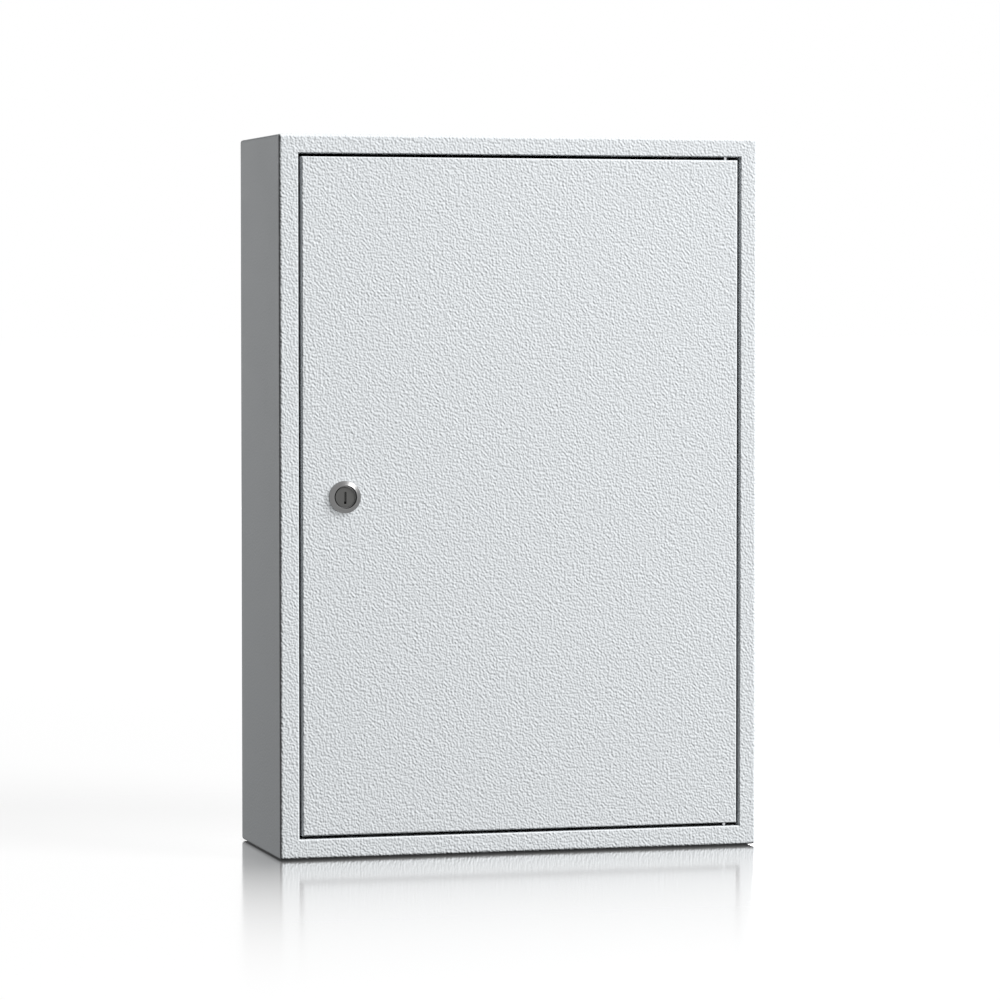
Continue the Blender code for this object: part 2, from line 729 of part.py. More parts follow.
def make_lock_cam(material, cylinder_axis):
    """The tapered cam, hanging down from the plug's tail at rest."""
    hub = CAM_HUB_WIDTH / 2
    tip = CAM_TIP_WIDTH / 2
    hub_arc = arc_points((0, 0), hub, 0, math.pi, CAM_ARC_POINTS)
    tip_arc = arc_points((0, tip - CAM_REACH), tip, math.pi, 2 * math.pi, CAM_ARC_POINTS)
    half = PLUG_TAIL_FLATS / 2 + SEAT
    hole = [(-half, -half), (half, -half), (half, half), (-half, half)]
    curve = flat_curve("cam_outline", [hub_arc + tip_arc, hole], CAM_THICKNESS)
    cam = add_object("lock_cam", solid_from_curve(curve, "lock_cam"), CABINET, material)
    cam.data.transform(Matrix.Translation((0, 0, -CAM_FRONT - CAM_THICKNESS / 2)))
    return place_on_lock(cam, cylinder_axis)


def make_cam_washer(material, cylinder_axis):
    bore = CAM_SCREW_DIAMETER / 2 + SEAT
    top = -(CAM_FRONT + CAM_THICKNESS + SEAT)
    outer = CAM_WASHER_DIAMETER / 2
    profile = (
        (bore, top),
        (outer, top),
        (outer, top - CAM_WASHER_THICKNESS),
        (bore, top - CAM_WASHER_THICKNESS),
    )
    washer = turned("cam_washer", profile, CAM_STEPS, True, material)
    return place_on_lock(washer, cylinder_axis)


def make_cam_screw(material, cylinder_axis):
    """The slotted screw that holds the cam on the plug's tail."""
    under_head = -(CAM_FRONT + CAM_THICKNESS + SEAT + CAM_WASHER_THICKNESS + SEAT)
    shank = CAM_SCREW_DIAMETER / 2
    head = CAM_SCREW_HEAD_DIAMETER / 2
    end = under_head - CAM_SCREW_HEAD_HEIGHT
    profile = (
        (0, under_head + CAM_SCREW_GRIP),
        (shank, under_head + CAM_SCREW_GRIP),
        (shank, under_head),
        (head, under_head),
        (head, end + CAM_SCREW_HEAD_EDGE),
        (head - CAM_SCREW_HEAD_EDGE, end),
        (0, end),
    )
    screw = turned("cam_screw", profile, CAM_STEPS, False, material)
    drive = bmesh.new()
    half = CAM_SCREW_DRIVE_WIDTH / 2
    low = (-head - OVERCUT, -half, end - OVERCUT)
    high = (head + OVERCUT, half, end + CAM_SCREW_DRIVE_DEPTH)
    add_box(drive, low, high)
    cutter = add_cutter("screw_drive", drive)
    boolean(screw, cutter)
    place_on_lock(cutter, cylinder_axis)
    return place_on_lock(screw, cylinder_axis)


def row_heights():
    """Heights of the hooks' roots, from the top row down."""
    return [TOP_ROW - row * ROW_PITCH for row in range(ROW_COUNT)]


def hook_outline():
    """Side view of one hook: a strip that curves up, with a round tip. Local X runs out, Y up."""
    sweep = HOOK_END_ANGLE - HOOK_START_ANGLE
    radius = HOOK_LENGTH / sweep
    centre = (-radius * math.sin(HOOK_START_ANGLE), radius * math.cos(HOOK_START_ANGLE))
    start = HOOK_START_ANGLE - math.pi / 2
    end = HOOK_END_ANGLE - math.pi / 2
    half = HOOK_THICKNESS / 2
    under = arc_points(centre, radius + half, start, end, HOOK_SEGMENTS + 1)
    over = arc_points(centre, radius - half, end, start, HOOK_SEGMENTS + 1)
    root = BAR_SHEET * SUNK_SHARE
    return [(-root, -half)] + under + over + [(-root, half)]


def make_hook_row():
    """All the hooks of one bar, as separate closed shapes that a Boolean joins to it."""
    curve = flat_curve("hook_outline", [hook_outline()], HOOK_WIDTH)
    mesh = solid_from_curve(curve, "hooks")
    # Local X to the front, local Y up
    mesh.transform(Matrix(((0, 0, 1, 0), (-1, 0, 0, 0), (0, 1, 0, 0), (0, 0, 0, 1))))
    first = -(HOOK_COUNT - 1) / 2 * HOOK_PITCH
    mesh.transform(Matrix.Translation((first, 0, BAR_ROOT_HEIGHT)))
    bm = bmesh.new()
    bm.from_mesh(mesh)
    bmesh.ops.recalc_face_normals(bm, faces=bm.faces[:])
    hooks = add_cutter("hook_row", bm)
    array = hooks.modifiers.new("row", "ARRAY")
    array.count = HOOK_COUNT
    array.use_relative_offset = False
    array.use_constant_offset = True
    array.constant_offset_displace = (HOOK_PITCH, 0, 0)
    return hooks


def lug_outline():
    """Side view of a bar's end: the ear, and the tongue that hooks down behind the upright.

    Local X runs back from the bar's face, and Y up from its lower edge.
    """
    ear_bottom = (BAR_HEIGHT - LUG_EAR_HEIGHT) / 2
    ear_top = ear_bottom + LUG_EAR_HEIGHT
    neck_bottom = lug_neck_bottom()
    neck_top = neck_bottom + LUG_NECK
    face = (BAND_DEPTH + BAR_SHEET) / 2  # inside the sheet, both at the band and below it
    shoulder = BAR_STAND_OFF
    behind = shoulder + SEAT + SHEET + SEAT
    end = behind + LUG_LENGTH
    return [
        (face, ear_bottom),
        (shoulder, ear_bottom),
        (shoulder, neck_bottom),
        (behind, neck_bottom),
        (behind, neck_bottom - LUG_DROP),
        (end, neck_bottom - LUG_DROP),
        (end, neck_top),
        (shoulder, neck_top),
        (shoulder, ear_top),
        (face, ear_top),
    ]


def lug_neck_bottom():
    """Height of the tongue's lower edge above the bar's lower edge."""
    return (BAR_HEIGHT - LUG_NECK) / 2


def make_ears():
    """Both ears of a bar, as separate closed shapes that a Boolean joins to it."""
    curve = flat_curve("lug_outline", [lug_outline()], BAR_SHEET)
    mesh = solid_from_curve(curve, "lug")
    # Local X to the back, local Y up
    mesh.transform(Matrix(((0, 0, 1, 0), (1, 0, 0, 0), (0, 1, 0, 0), (0, 0, 0, 1))))
    bm = bmesh.new()
    for side in (-1, 1):
        copy = mesh.copy()
        copy.transform(Matrix.Translation((side * LUG_X, 0, 0)))
        bm.from_mesh(copy)
        bpy.data.meshes.remove(copy)
    bpy.data.meshes.remove(mesh)
    return add_cutter("ears", bm)


def folded_sheet(section, direction, length):
    """An open folded surface: a section's points joined up and drawn along a direction, facing the front."""
    bm = bmesh.new()
    verts = [bm.verts.new(point) for point in section]
    edges = [bm.edges.new(pair) for pair in zip(verts, verts[1:])]
    made = bmesh.ops.extrude_edge_only(bm, edges=edges)["geom"]
    drawn = [item for item in made if isinstance(item, bmesh.types.BMVert)]
    bmesh.ops.translate(bm, verts=drawn, vec=direction * length)
    bm.normal_update()
    if sum(face.normal.dot(OUT) * face.calc_area() for face in bm.faces) < 0:
        bmesh.ops.reverse_faces(bm, faces=bm.faces[:])
    return bm


def make_bar_mesh():
    """One hook bar, with its face in local Y = 0 and its lower edge at local Z = 0."""
    left = -BAR_LENGTH / 2
    band_top = BAR_HEIGHT - BAND_TOP_GAP
    band_bottom = band_top - BAND_HEIGHT
    section = (
        (left, BAR_TOP_FOLD, BAR_HEIGHT),
        (left, 0, BAR_HEIGHT),
        (left, 0, band_top),
        (left, BAND_DEPTH, band_top - BAND_DEPTH),
        (left, BAND_DEPTH, band_bottom + BAND_DEPTH),
        (left, 0, band_bottom),
        (left, 0, 0),
        (left, BAR_BOTTOM_FOLD, 0),
    )
    bm = folded_sheet(section, RIGHTWARD, BAR_LENGTH)
    folds = [edge_at(bm, 1, 0, 2, height) for height in (0, BAR_HEIGHT)]
    round_edges(bm, folds, BAR_BEND)
    bar = add_object("bar", mesh_from("bar", bm), CUTTERS, None)
    solidify(bar, BAR_SHEET)
    boolean(bar, make_ears(), "UNION")
    boolean(bar, make_hook_row(), "UNION")
    return finish_mesh(bar, "hook_bar")


def make_hook_bars(material):
    mesh = make_bar_mesh()
    for row, height in enumerate(row_heights(), 1):
        bar = add_object(f"hook_bar_{row:02d}", mesh, CABINET, material)
        bar.location = (0, FRONT + BAR_FRONT, height - BAR_ROOT_HEIGHT)


def make_slots():
    """Cutter for one column of slots. Each row of hooks has a slot at the height of its lugs."""
    height = LUG_DROP + LUG_NECK + SLOT_CLEARANCE + SEAT
    lug_bottom = BOTTOM_ROW - BAR_ROOT_HEIGHT + lug_neck_bottom()
    bottom = lug_bottom - SEAT
    depth = FRONT + UPRIGHT_FRONT
    half = SLOT_WIDTH / 2
    bm = bmesh.new()
    add_box(bm, (-half, depth - OVERCUT, bottom), (half, depth + SHEET + OVERCUT, bottom + height))
    slots = add_cutter("slots", bm)
    array = slots.modifiers.new("column", "ARRAY")
    array.count = (ROW_COUNT - 1) * SLOTS_PER_ROW + 1
    array.use_relative_offset = False
    array.use_constant_offset = True
    array.constant_offset_displace = (0, 0, SLOT_PITCH)
    return slots


def make_upright_mesh():
    """A slotted rail of hat section, open at the back, made about its middle."""
    web = UPRIGHT_WEB / 2
    foot = web + UPRIGHT_FOOT
    front = FRONT + UPRIGHT_FRONT
    back = front + UPRIGHT_DEPTH - SHEET
    bottom = BOTTOM_ROW - UPRIGHT_BELOW
    top = TOP_ROW - BAR_ROOT_HEIGHT + BAR_HEIGHT + UPRIGHT_ABOVE
    section = (
        (-foot, back, bottom),
        (-web, back, bottom),
        (-web, front, bottom),
        (web, front, bottom),
        (web, back, bottom),
        (foot, back, bottom),
    )
    bm = folded_sheet(section, UPWARD, top - bottom)
    folds = [edge for edge in bm.edges if len(edge.link_faces) == 2]
    round_edges(bm, folds, UPRIGHT_BEND)
    upright = add_object("upright", mesh_from("upright", bm), CUTTERS, None)
    solidify(upright, SHEET)
    boolean(upright, make_slots())
    return finish_mesh(upright, "upright")


def make_uprights(material):
    mesh = make_upright_mesh()
    for name, side in (("upright_left", -1), ("upright_right", 1)):
        upright = add_object(name, mesh, CABINET, material)
        upright.location = (side * LUG_X, 0, 0)


def build():
    paint = make_material("light_grey_powder_coat", (0.74, 0.77, 0.78), 0.55, 0)
    zinc = make_material("zinc_plate", (0.62, 0.63, 0.64), 0.35, 1)
    nickel = make_material("satin_nickel", (0.55, 0.55, 0.54), 0.3, 1)
    dark_nickel = make_material("plug_nickel", (0.33, 0.33, 0.34), 0.4, 1)
    nylon = make_material("black_nylon", (0.03, 0.03, 0.03), 0.5, 0)
    rubber = make_material("black_rubber", (0.02, 0.02, 0.02), 0.8, 0)

    make_case_shell(paint)
    make_uprights(zinc)
    make_hook_bars(zinc)

    pivot = make_axis("door_axis", (PIVOT_X, PIVOT_Y, DOOR_BOTTOM))
    make_door_pan(paint, pivot)
    for end, opening_z, door_z, turn in (
        ("top", OPENING_TOP, DOOR_TOP, 0),
        ("bottom", OPENING_BOTTOM, DOOR_BOTTOM, math.pi),
    ):
        make_pivot_bush(f"pivot_bush_{end}", opening_z, turn, nylon)
        make_pivot_pin(f"pivot_pin_{end}", door_z, turn, zinc, pivot)
    for end, z in zip(("bottom", "top"), bumper_heights()):
        make_bumper(f"door_bumper_{end}", z, rubber)

    make_lock_housing(nickel, pivot)
    make_lock_washer(zinc, pivot)
    make_lock_nut(zinc, pivot)
    cylinder_axis = make_axis("lock_axis", (LOCK_X, FRONT, LOCK_Z), pivot)
    make_lock_plug(dark_nickel, cylinder_axis)
    make_lock_cam(zinc, cylinder_axis)
    make_cam_washer(zinc, cylinder_axis)
    make_cam_screw(zinc, cylinder_axis)


clear_scene()
CABINET = make_collection("key_cabinet")
CUTTERS = make_collection("cutters", hidden=True)
build()
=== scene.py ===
"""Wall key cabinet: fine pieces, finishes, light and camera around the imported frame.

Metres, +Z up. The door faces -Y and is closed. Every piece is made in the frame's own place, so that its
object sits at the origin. Sizes that the frame holds are read from it, and the rest are named here.
"""

import logging
import math
from collections.abc import Callable, Iterable, Sequence
from dataclasses import dataclass, field
from enum import Enum

import bmesh
import bpy
from mathutils import Matrix, Vector

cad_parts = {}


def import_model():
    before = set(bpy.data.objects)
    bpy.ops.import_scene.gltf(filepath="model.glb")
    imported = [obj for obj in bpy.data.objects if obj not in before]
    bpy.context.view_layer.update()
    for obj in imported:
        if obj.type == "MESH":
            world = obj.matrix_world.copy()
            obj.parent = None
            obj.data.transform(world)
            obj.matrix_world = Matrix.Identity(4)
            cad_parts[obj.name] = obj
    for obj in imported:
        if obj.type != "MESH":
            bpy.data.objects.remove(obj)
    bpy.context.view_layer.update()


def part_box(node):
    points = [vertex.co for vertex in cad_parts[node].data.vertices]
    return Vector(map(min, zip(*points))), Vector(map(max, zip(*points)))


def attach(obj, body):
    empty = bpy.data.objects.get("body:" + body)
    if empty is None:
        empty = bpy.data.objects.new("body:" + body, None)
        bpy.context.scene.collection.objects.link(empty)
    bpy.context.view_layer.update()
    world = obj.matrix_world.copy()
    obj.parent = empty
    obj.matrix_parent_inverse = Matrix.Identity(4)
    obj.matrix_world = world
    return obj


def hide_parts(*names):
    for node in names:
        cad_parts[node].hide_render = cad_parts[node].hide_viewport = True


LOG = logging.getLogger("key_cabinet")

MM = 0.001
OVERCUT = 2 * MM  # how far a cutter runs past the wall that it cuts
SEAT = 0.3 * MM  # between two pieces that rest on each other
UPRIGHT_FOOT = 6 * MM  # width of the flange by which an upright is welded to the back
MERGE = 0.00001  # points nearer than this are taken as one
SLIVER = 0.000002  # the size of faces that a cut leaves by chance
BAR_COUNT = 10
BEND_SEGMENTS = 6
CORNER_SEGMENTS = 3
CORNER_SHARE = 0.45  # how much of a side goes into a rounded corner, at most
TURNED_STEPS = 96
SMALL_TURNED_STEPS = 48
SMALL_HOLE_STEPS = 36
SHARP_ANGLE = math.radians(32)
ROUND_PROFILE = 0.5  # Blender's bevel profile for a circular arc
OUT = Vector((0, -1, 0))
RIGHTWARD = Vector((1, 0, 0))
UPWARD = Vector((0, 0, 1))
FACING_OUT = Matrix.Rotation(math.radians(90), 4, "X")  # turns local +Z to the front and local +Y up
WHITE = (1, 1, 1, 1)

Point = tuple[float, float]
Color = tuple[float, float, float]
Warp = Callable[[float, float, float], float]


class Body(Enum):
    """The bodies of the frame that pieces ride on."""

    CABINET = "cabinet"
    DOOR = "door"
    CYLINDER = "lock_cylinder"


class Slot(Enum):
    """The record's material slots."""

    COAT = "light_grey_powder_coat"
    ZINC = "zinc_plate"
    NICKEL = "satin_nickel"
    PLUG = "plug_nickel"
    NYLON = "black_nylon"
    RUBBER = "black_rubber"


@dataclass(frozen=True)
class Box:
    """The lowest and highest corner of a node of the frame."""

    low: Vector
    high: Vector

    @classmethod
    def of(cls, node: str) -> "Box":
        """The box of one node."""
        low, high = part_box(node)
        return cls(low, high)

    @property
    def middle(self) -> Vector:
        """The point halfway between both corners."""
        return (self.low + self.high) / 2


# Nodes and shader groups


class Graph:
    """Adds nodes to a node tree, with their settings and links in one call."""

    def __init__(self, tree: bpy.types.NodeTree) -> None:
        """Keeps the tree that the nodes go into."""
        self.tree = tree

    def add(self, kind: str, inputs: dict | None = None, **settings: object) -> bpy.types.Node:
        """Adds one node.

        Args:
            kind: Blender's name of the node type.
            inputs: values or output sockets by the input's name or number.
            settings: the node's own properties.

        Returns:
            The new node.
        """
        node = self.tree.nodes.new(kind)
        for name, value in settings.items():
            setattr(node, name, value)
        for key, value in (inputs or {}).items():
            if isinstance(value, bpy.types.NodeSocket):
                self.tree.links.new(value, node.inputs[key])
            else:
                node.inputs[key].default_value = value
        return node

    def math(self, operation: str, *values: object) -> bpy.types.NodeSocket:
        """One step of arithmetic on values or sockets, and its output."""
        return self.add("ShaderNodeMath", dict(enumerate(values)), operation=operation).outputs[0]

    def vector(self, operation: str, *values: object) -> bpy.types.Node:
        """One step of vector arithmetic on values or sockets."""
        return self.add("ShaderNodeVectorMath", dict(enumerate(values)), operation=operation)

    def blend(self, factor: object, first: object, second: object) -> bpy.types.NodeSocket:
        """A mix of two colours or colour sockets, and its output."""
        # The node has sockets for each kind of data. The colours are inputs 6 and 7 and output 2
        mix = self.add("ShaderNodeMix", {0: factor, 6: first, 7: second}, data_type="RGBA")
        return mix.outputs[2]


class Effects:
    """Shader node groups that several finishes share. Each is built once."""

    GRAIN_STRETCH = (1.04, 1.04, 0.96)  # the wrinkles are a little taller than wide
    FRONT_POWER = 2.0  # how fast the relief fades on faces that turn from the front
    PATCH_SCALE = 45.0
    PATCH_DETAIL = 2.0
    PATCH_SHARE = 0.5  # how far the relief varies from patch to patch
    CLOUD_DETAIL = 4.0
    SPECK_DETAIL = 2.0
    DUST_SCALE = 90.0
    DUST_DETAIL = 5.0

    def __init__(self) -> None:
        """Builds the groups."""
        self.relief = self._coat_relief()
        self.clouds = self._clouds()
        self.rings = self._turned_rings()
        self.dust = self._settled_dust()

    @staticmethod
    def _group(
        name: str, inputs: dict[str, tuple[str, object]], outputs: Sequence[str]
    ) -> bpy.types.NodeTree:
        """An empty group with its sockets.

        Args:
            name: the group's name.
            inputs: kind of socket and start value by name.
            outputs: names of the values that the group puts out.

        Returns:
            The group's tree.
        """
        tree = bpy.data.node_groups.new(name, "ShaderNodeTree")
        for label, (kind, value) in inputs.items():
            socket = tree.interface.new_socket(name=label, in_out="INPUT", socket_type=kind)
            socket.default_value = value
        for label in outputs:
            tree.interface.new_socket(name=label, in_out="OUTPUT", socket_type="NodeSocketFloat")
        return tree

    def _coat_relief(self) -> bpy.types.NodeTree:
        """The wrinkled relief of a textured powder coat, strongest on faces that look to the front.

        Returns:
            The group, which puts out the height and the patches.
        """
        tree = self._group(
            "coat_relief",
            {
                "Grain Size": ("NodeSocketFloat", 2 * MM),
                "Side Share": ("NodeSocketFloat", 0.2),
            },
            ("Height", "Patch"),
        )
        graph = Graph(tree)
        values = graph.add("NodeGroupInput").outputs
        place = graph.add("ShaderNodeTexCoord").outputs
        density = graph.math("DIVIDE", 1.0, values["Grain Size"])
        drawn_out = graph.vector("MULTIPLY", place["Object"], self.GRAIN_STRETCH)
        point = graph.vector("SCALE", drawn_out.outputs[0])
        tree.links.new(density, point.inputs["Scale"])
        grain = graph.add("ShaderNodeTexNoise", {"Vector": point.outputs[0], "Scale": 1.0, "Detail": 0.0})
        axes = graph.add("ShaderNodeSeparateXYZ", {"Vector": place["Normal"]})
        front = graph.math("POWER", graph.math("ABSOLUTE", axes.outputs["Y"]), self.FRONT_POWER)
        spread = graph.math("SUBTRACT", 1.0, values["Side Share"])
        share = graph.math("MULTIPLY_ADD", front, spread, values["Side Share"])
        patch = graph.add(
            "ShaderNodeTexNoise",
            {"Vector": place["Object"], "Scale": self.PATCH_SCALE, "Detail": self.PATCH_DETAIL},
        )
        thinnest = 1 - self.PATCH_SHARE / 2
        thickness = graph.math("MULTIPLY_ADD", patch.outputs["Fac"], self.PATCH_SHARE, thinnest)
        height = graph.math("MULTIPLY", grain.outputs["Fac"], graph.math("MULTIPLY", share, thickness))
        graph.add("NodeGroupOutput", {"Height": height, "Patch": patch.outputs["Fac"]})
        return tree

    def _clouds(self) -> bpy.types.NodeTree:
        """Soft clouds and fine specks, as on plated steel or moulded plastic.

        Returns:
            The group, which puts out the clouds and the specks.
        """
        tree = self._group(
            "surface_clouds",
            {
                "Cloud Size": ("NodeSocketFloat", 12 * MM),
                "Speck Size": ("NodeSocketFloat", 0.4 * MM),
            },
            ("Cloud", "Speck"),
        )
        graph = Graph(tree)
        values = graph.add("NodeGroupInput").outputs
        place = graph.add("ShaderNodeTexCoord").outputs["Object"]
        for label, detail in (("Cloud", self.CLOUD_DETAIL), ("Speck", self.SPECK_DETAIL)):
            scale = graph.math("DIVIDE", 1.0, values[f"{label} Size"])
            graph.add("ShaderNodeTexNoise", {"Vector": place, "Scale": scale, "Detail": detail}, label=label)
        noises = {node.label: node.outputs["Fac"] for node in tree.nodes if node.type == "TEX_NOISE"}
        graph.add("NodeGroupOutput", noises)
        return tree

    def _turned_rings(self) -> bpy.types.NodeTree:
        """Fine rings round an axis along Y, as a lathe leaves them.

        Returns:
            The group, which puts out the rings' height.
        """
        tree = self._group(
            "turned_rings",
            {
                "Centre": ("NodeSocketVector", (0, 0, 0)),
                "Ring Pitch": ("NodeSocketFloat", 0.15 * MM),
                "Arc Changes": ("NodeSocketFloat", 2.0),
            },
            ("Height",),
        )
        graph = Graph(tree)
        values = graph.add("NodeGroupInput").outputs
        place = graph.add("ShaderNodeTexCoord").outputs["Object"]
        local = graph.vector("SUBTRACT", place, values["Centre"]).outputs[0]
        across = graph.vector("MULTIPLY", local, (1, 0, 1)).outputs[0]
        radius = graph.vector("LENGTH", across).outputs["Value"]
        around = graph.vector("NORMALIZE", across).outputs[0]
        turn = graph.add("ShaderNodeSeparateXYZ", {"Vector": around}).outputs
        depth = graph.add("ShaderNodeSeparateXYZ", {"Vector": local}).outputs["Y"]
        rings = {
            "X": graph.math("DIVIDE", radius, values["Ring Pitch"]),
            "Y": graph.math("MULTIPLY", turn["X"], values["Arc Changes"]),
            "Z": graph.math("MULTIPLY", turn["Z"], values["Arc Changes"]),
        }
        point = graph.add("ShaderNodeCombineXYZ", rings).outputs[0]
        level = graph.math("DIVIDE", depth, values["Ring Pitch"])
        noise = graph.add(
            "ShaderNodeTexNoise",
            {"Vector": point, "W": level, "Scale": 1.0, "Detail": 1.0},
            noise_dimensions="4D",
        )
        graph.add("NodeGroupOutput", {"Height": noise.outputs["Fac"]})
        return tree

    def _settled_dust(self) -> bpy.types.NodeTree:
        """A faint uneven film on faces that look up.

        Returns:
            The group, which puts out how much dust lies at a place.
        """
        tree = self._group("settled_dust", {"Amount": ("NodeSocketFloat", 0.1)}, ("Mask",))
        graph = Graph(tree)
        amount = graph.add("NodeGroupInput").outputs["Amount"]
        place = graph.add("ShaderNodeTexCoord").outputs
        axes = graph.add("ShaderNodeSeparateXYZ", {"Vector": place["Normal"]})
        upward = graph.math("MAXIMUM", axes.outputs["Z"], 0.0)
        noise = graph.add(
            "ShaderNodeTexNoise",
            {"Vector": place["Object"], "Scale": self.DUST_SCALE, "Detail": self.DUST_DETAIL},
        )
        mask = graph.math("MULTIPLY", graph.math("MULTIPLY", upward, noise.outputs["Fac"]), amount)
        graph.add("NodeGroupOutput", {"Mask": mask})
        return tree


def group_node(graph: Graph, tree: bpy.types.NodeTree, **values: object) -> bpy.types.Node:
    """Places a group in a material.

    Args:
        graph: the material's graph.
        tree: the group.
        values: the group's inputs, each by its words in small letters joined by underscores.

    Returns:
        The group's node.
    """
    node = graph.add("ShaderNodeGroup", node_tree=tree)
    for words, value in values.items():
        node.inputs[words.replace("_", " ").title()].default_value = value
    return node


@dataclass(frozen=True)
class Finish:
    """What all finishes share: a name, a colour and a roughness, each of which varies a little."""

    name: str
    color: Color
    roughness: float
    shade_range: float = 0.04  # how far the colour varies, as a share
    roughness_range: float = 0.08

    def start(self) -> tuple[bpy.types.Material, Graph, bpy.types.Node]:
        """Starts the finish's material.

        Returns:
            The material, its graph and its Principled shader.
        """
        material = bpy.data.materials.new(self.name)
        material.use_nodes = True
        graph = Graph(material.node_tree)
        return material, graph, material.node_tree.nodes["Principled BSDF"]

    def vary(self, graph: Graph, shader: bpy.types.Node, mask: bpy.types.NodeSocket) -> bpy.types.NodeSocket:
        """Lets the colour and the roughness follow a mask from 0 to 1.

        Args:
            graph: the material's graph.
            shader: its Principled shader.
            mask: the value that both follow.

        Returns:
            The colour's socket.
        """
        dark = tuple(part * (1 - self.shade_range) for part in self.color)
        light = tuple(min(part * (1 + self.shade_range), 1) for part in self.color)
        color = graph.blend(mask, (*dark, 1), (*light, 1))
        graph.tree.links.new(color, shader.inputs["Base Color"])
        low = self.roughness - self.roughness_range / 2
        rough = graph.math("MULTIPLY_ADD", mask, self.roughness_range, low)
        graph.tree.links.new(rough, shader.inputs["Roughness"])
        return color

    @staticmethod
    def bump(graph: Graph, shader: bpy.types.Node, height: bpy.types.NodeSocket, depth: float) -> None:
        """Gives the shader a relief of a real depth in metres."""
        bump = graph.add("ShaderNodeBump", {"Strength": 1.0, "Distance": depth, "Height": height})
        graph.tree.links.new(bump.outputs[0], shader.inputs["Normal"])


@dataclass(frozen=True)
class PowderCoat(Finish):
    """A light grey powder coat with a wrinkled texture."""

    grain: float = 1.72 * MM
    depth: float = 0.66 * MM
    side_share: float = 0.25
    sheen_level: float = 0.004  # a matt coat hardly mirrors the white room
    dust: float = 0.12
    dust_color: Color = (0.6, 0.58, 0.54)

    def material(self, effects: Effects) -> bpy.types.Material:
        """Makes the coat's material.

        Args:
            effects: the shared groups.

        Returns:
            The material.
        """
        material, graph, shader = self.start()
        shader.inputs["Specular IOR Level"].default_value = self.sheen_level
        relief = group_node(graph, effects.relief, grain_size=self.grain, side_share=self.side_share)
        color = self.vary(graph, shader, relief.outputs["Patch"])
        dust = group_node(graph, effects.dust, amount=self.dust)
        dusty = graph.blend(dust.outputs["Mask"], color, (*self.dust_color, 1))
        graph.tree.links.new(dusty, shader.inputs["Base Color"])
        self.bump(graph, shader, relief.outputs["Height"], self.depth)
        return material


@dataclass(frozen=True)
class PlatedSteel(Finish):
    """Bright zinc or nickel plate, with soft clouds and fine specks."""

    cloud: float = 9 * MM
    speck: float = 0.35 * MM
    depth: float = 0.006 * MM

    def material(self, effects: Effects) -> bpy.types.Material:
        """Makes the plate's material.

        Args:
            effects: the shared groups.

        Returns:
            The material.
        """
        material, graph, shader = self.start()
        shader.inputs["Metallic"].default_value = 1.0
        clouds = group_node(graph, effects.clouds, cloud_size=self.cloud, speck_size=self.speck)
        self.vary(graph, shader, clouds.outputs["Cloud"])
        self.bump(graph, shader, clouds.outputs["Speck"], self.depth)
        return material


@dataclass(frozen=True)
class TurnedMetal(Finish):
    """Metal turned on a lathe, whose fine rings run round the lock's axis."""

    centre: tuple[float, float, float] = (0, 0, 0)
    ring: float = 0.16 * MM
    depth: float = 0.01 * MM

    def material(self, effects: Effects) -> bpy.types.Material:
        """Makes the turned metal's material.

        Args:
            effects: the shared groups.

        Returns:
            The material.
        """
        material, graph, shader = self.start()
        shader.inputs["Metallic"].default_value = 1.0
        rings = group_node(graph, effects.rings, centre=self.centre, ring_pitch=self.ring)
        self.vary(graph, shader, rings.outputs["Height"])
        self.bump(graph, shader, rings.outputs["Height"], self.depth)
        return material


@dataclass(frozen=True)
class Polymer(Finish):
    """Moulded nylon, rubber or ink, with faint clouds and specks."""

    cloud: float = 6 * MM
    speck: float = 0.5 * MM
    depth: float = 0.02 * MM

    def material(self, effects: Effects) -> bpy.types.Material:
        """Makes the polymer's material.

        Args:
            effects: the shared groups.

        Returns:
            The material.
        """
        material, graph, shader = self.start()
        clouds = group_node(graph, effects.clouds, cloud_size=self.cloud, speck_size=self.speck)
        self.vary(graph, shader, clouds.outputs["Cloud"])
        self.bump(graph, shader, clouds.outputs["Speck"], self.depth)
        return material


class Finishes:
    """One material for each finish of the cabinet."""

    def __init__(self, lock_axis: Vector) -> None:
        """Builds every material.

        Args:
            lock_axis: a point on the lock's axis, about which its metal is turned.
        """
        effects = Effects()
        centre = tuple(lock_axis)
        coat = PowderCoat("powder_coat", (0.55, 0.571, 0.586), 0.57, shade_range=0.012)
        zinc = PlatedSteel(
            "bright_zinc", (0.60, 0.61, 0.63), 0.32, shade_range=0.08, roughness_range=0.14
        )
        nickel = TurnedMetal(
            "satin_nickel_finish",
            (0.20, 0.20, 0.20),
            0.3,
            shade_range=0.08,
            roughness_range=0.1,
            centre=centre,
        )
        plug = TurnedMetal("plug_finish", (0.088, 0.088, 0.086), 0.42, shade_range=0.06, centre=centre)
        nylon = Polymer("nylon", (0.02, 0.02, 0.021), 0.45, shade_range=0.2, roughness_range=0.1)
        rubber = Polymer("rubber", (0.014, 0.014, 0.014), 0.75, shade_range=0.25, roughness_range=0.1)
        ink = Polymer("number_ink", (0.012, 0.012, 0.014), 0.5, shade_range=0.2, roughness_range=0.1)
        self.coat = coat.material(effects)
        self.zinc = zinc.material(effects)
        self.nickel = nickel.material(effects)
        self.plug = plug.material(effects)
        self.nylon = nylon.material(effects)
        self.rubber = rubber.material(effects)
        self.ink = ink.material(effects)


# Mesh helpers


def object_mesh(bm: bmesh.types.BMesh, name: str = "piece") -> bpy.types.Mesh:
    """Ends the building of a mesh.

    Args:
        bm: the mesh being built, which is freed.
        name: the name of the result.

    Returns:
        The mesh as data for an object.
    """
    mesh = bpy.data.meshes.new(name)
    bm.to_mesh(mesh)
    bm.free()
    return mesh


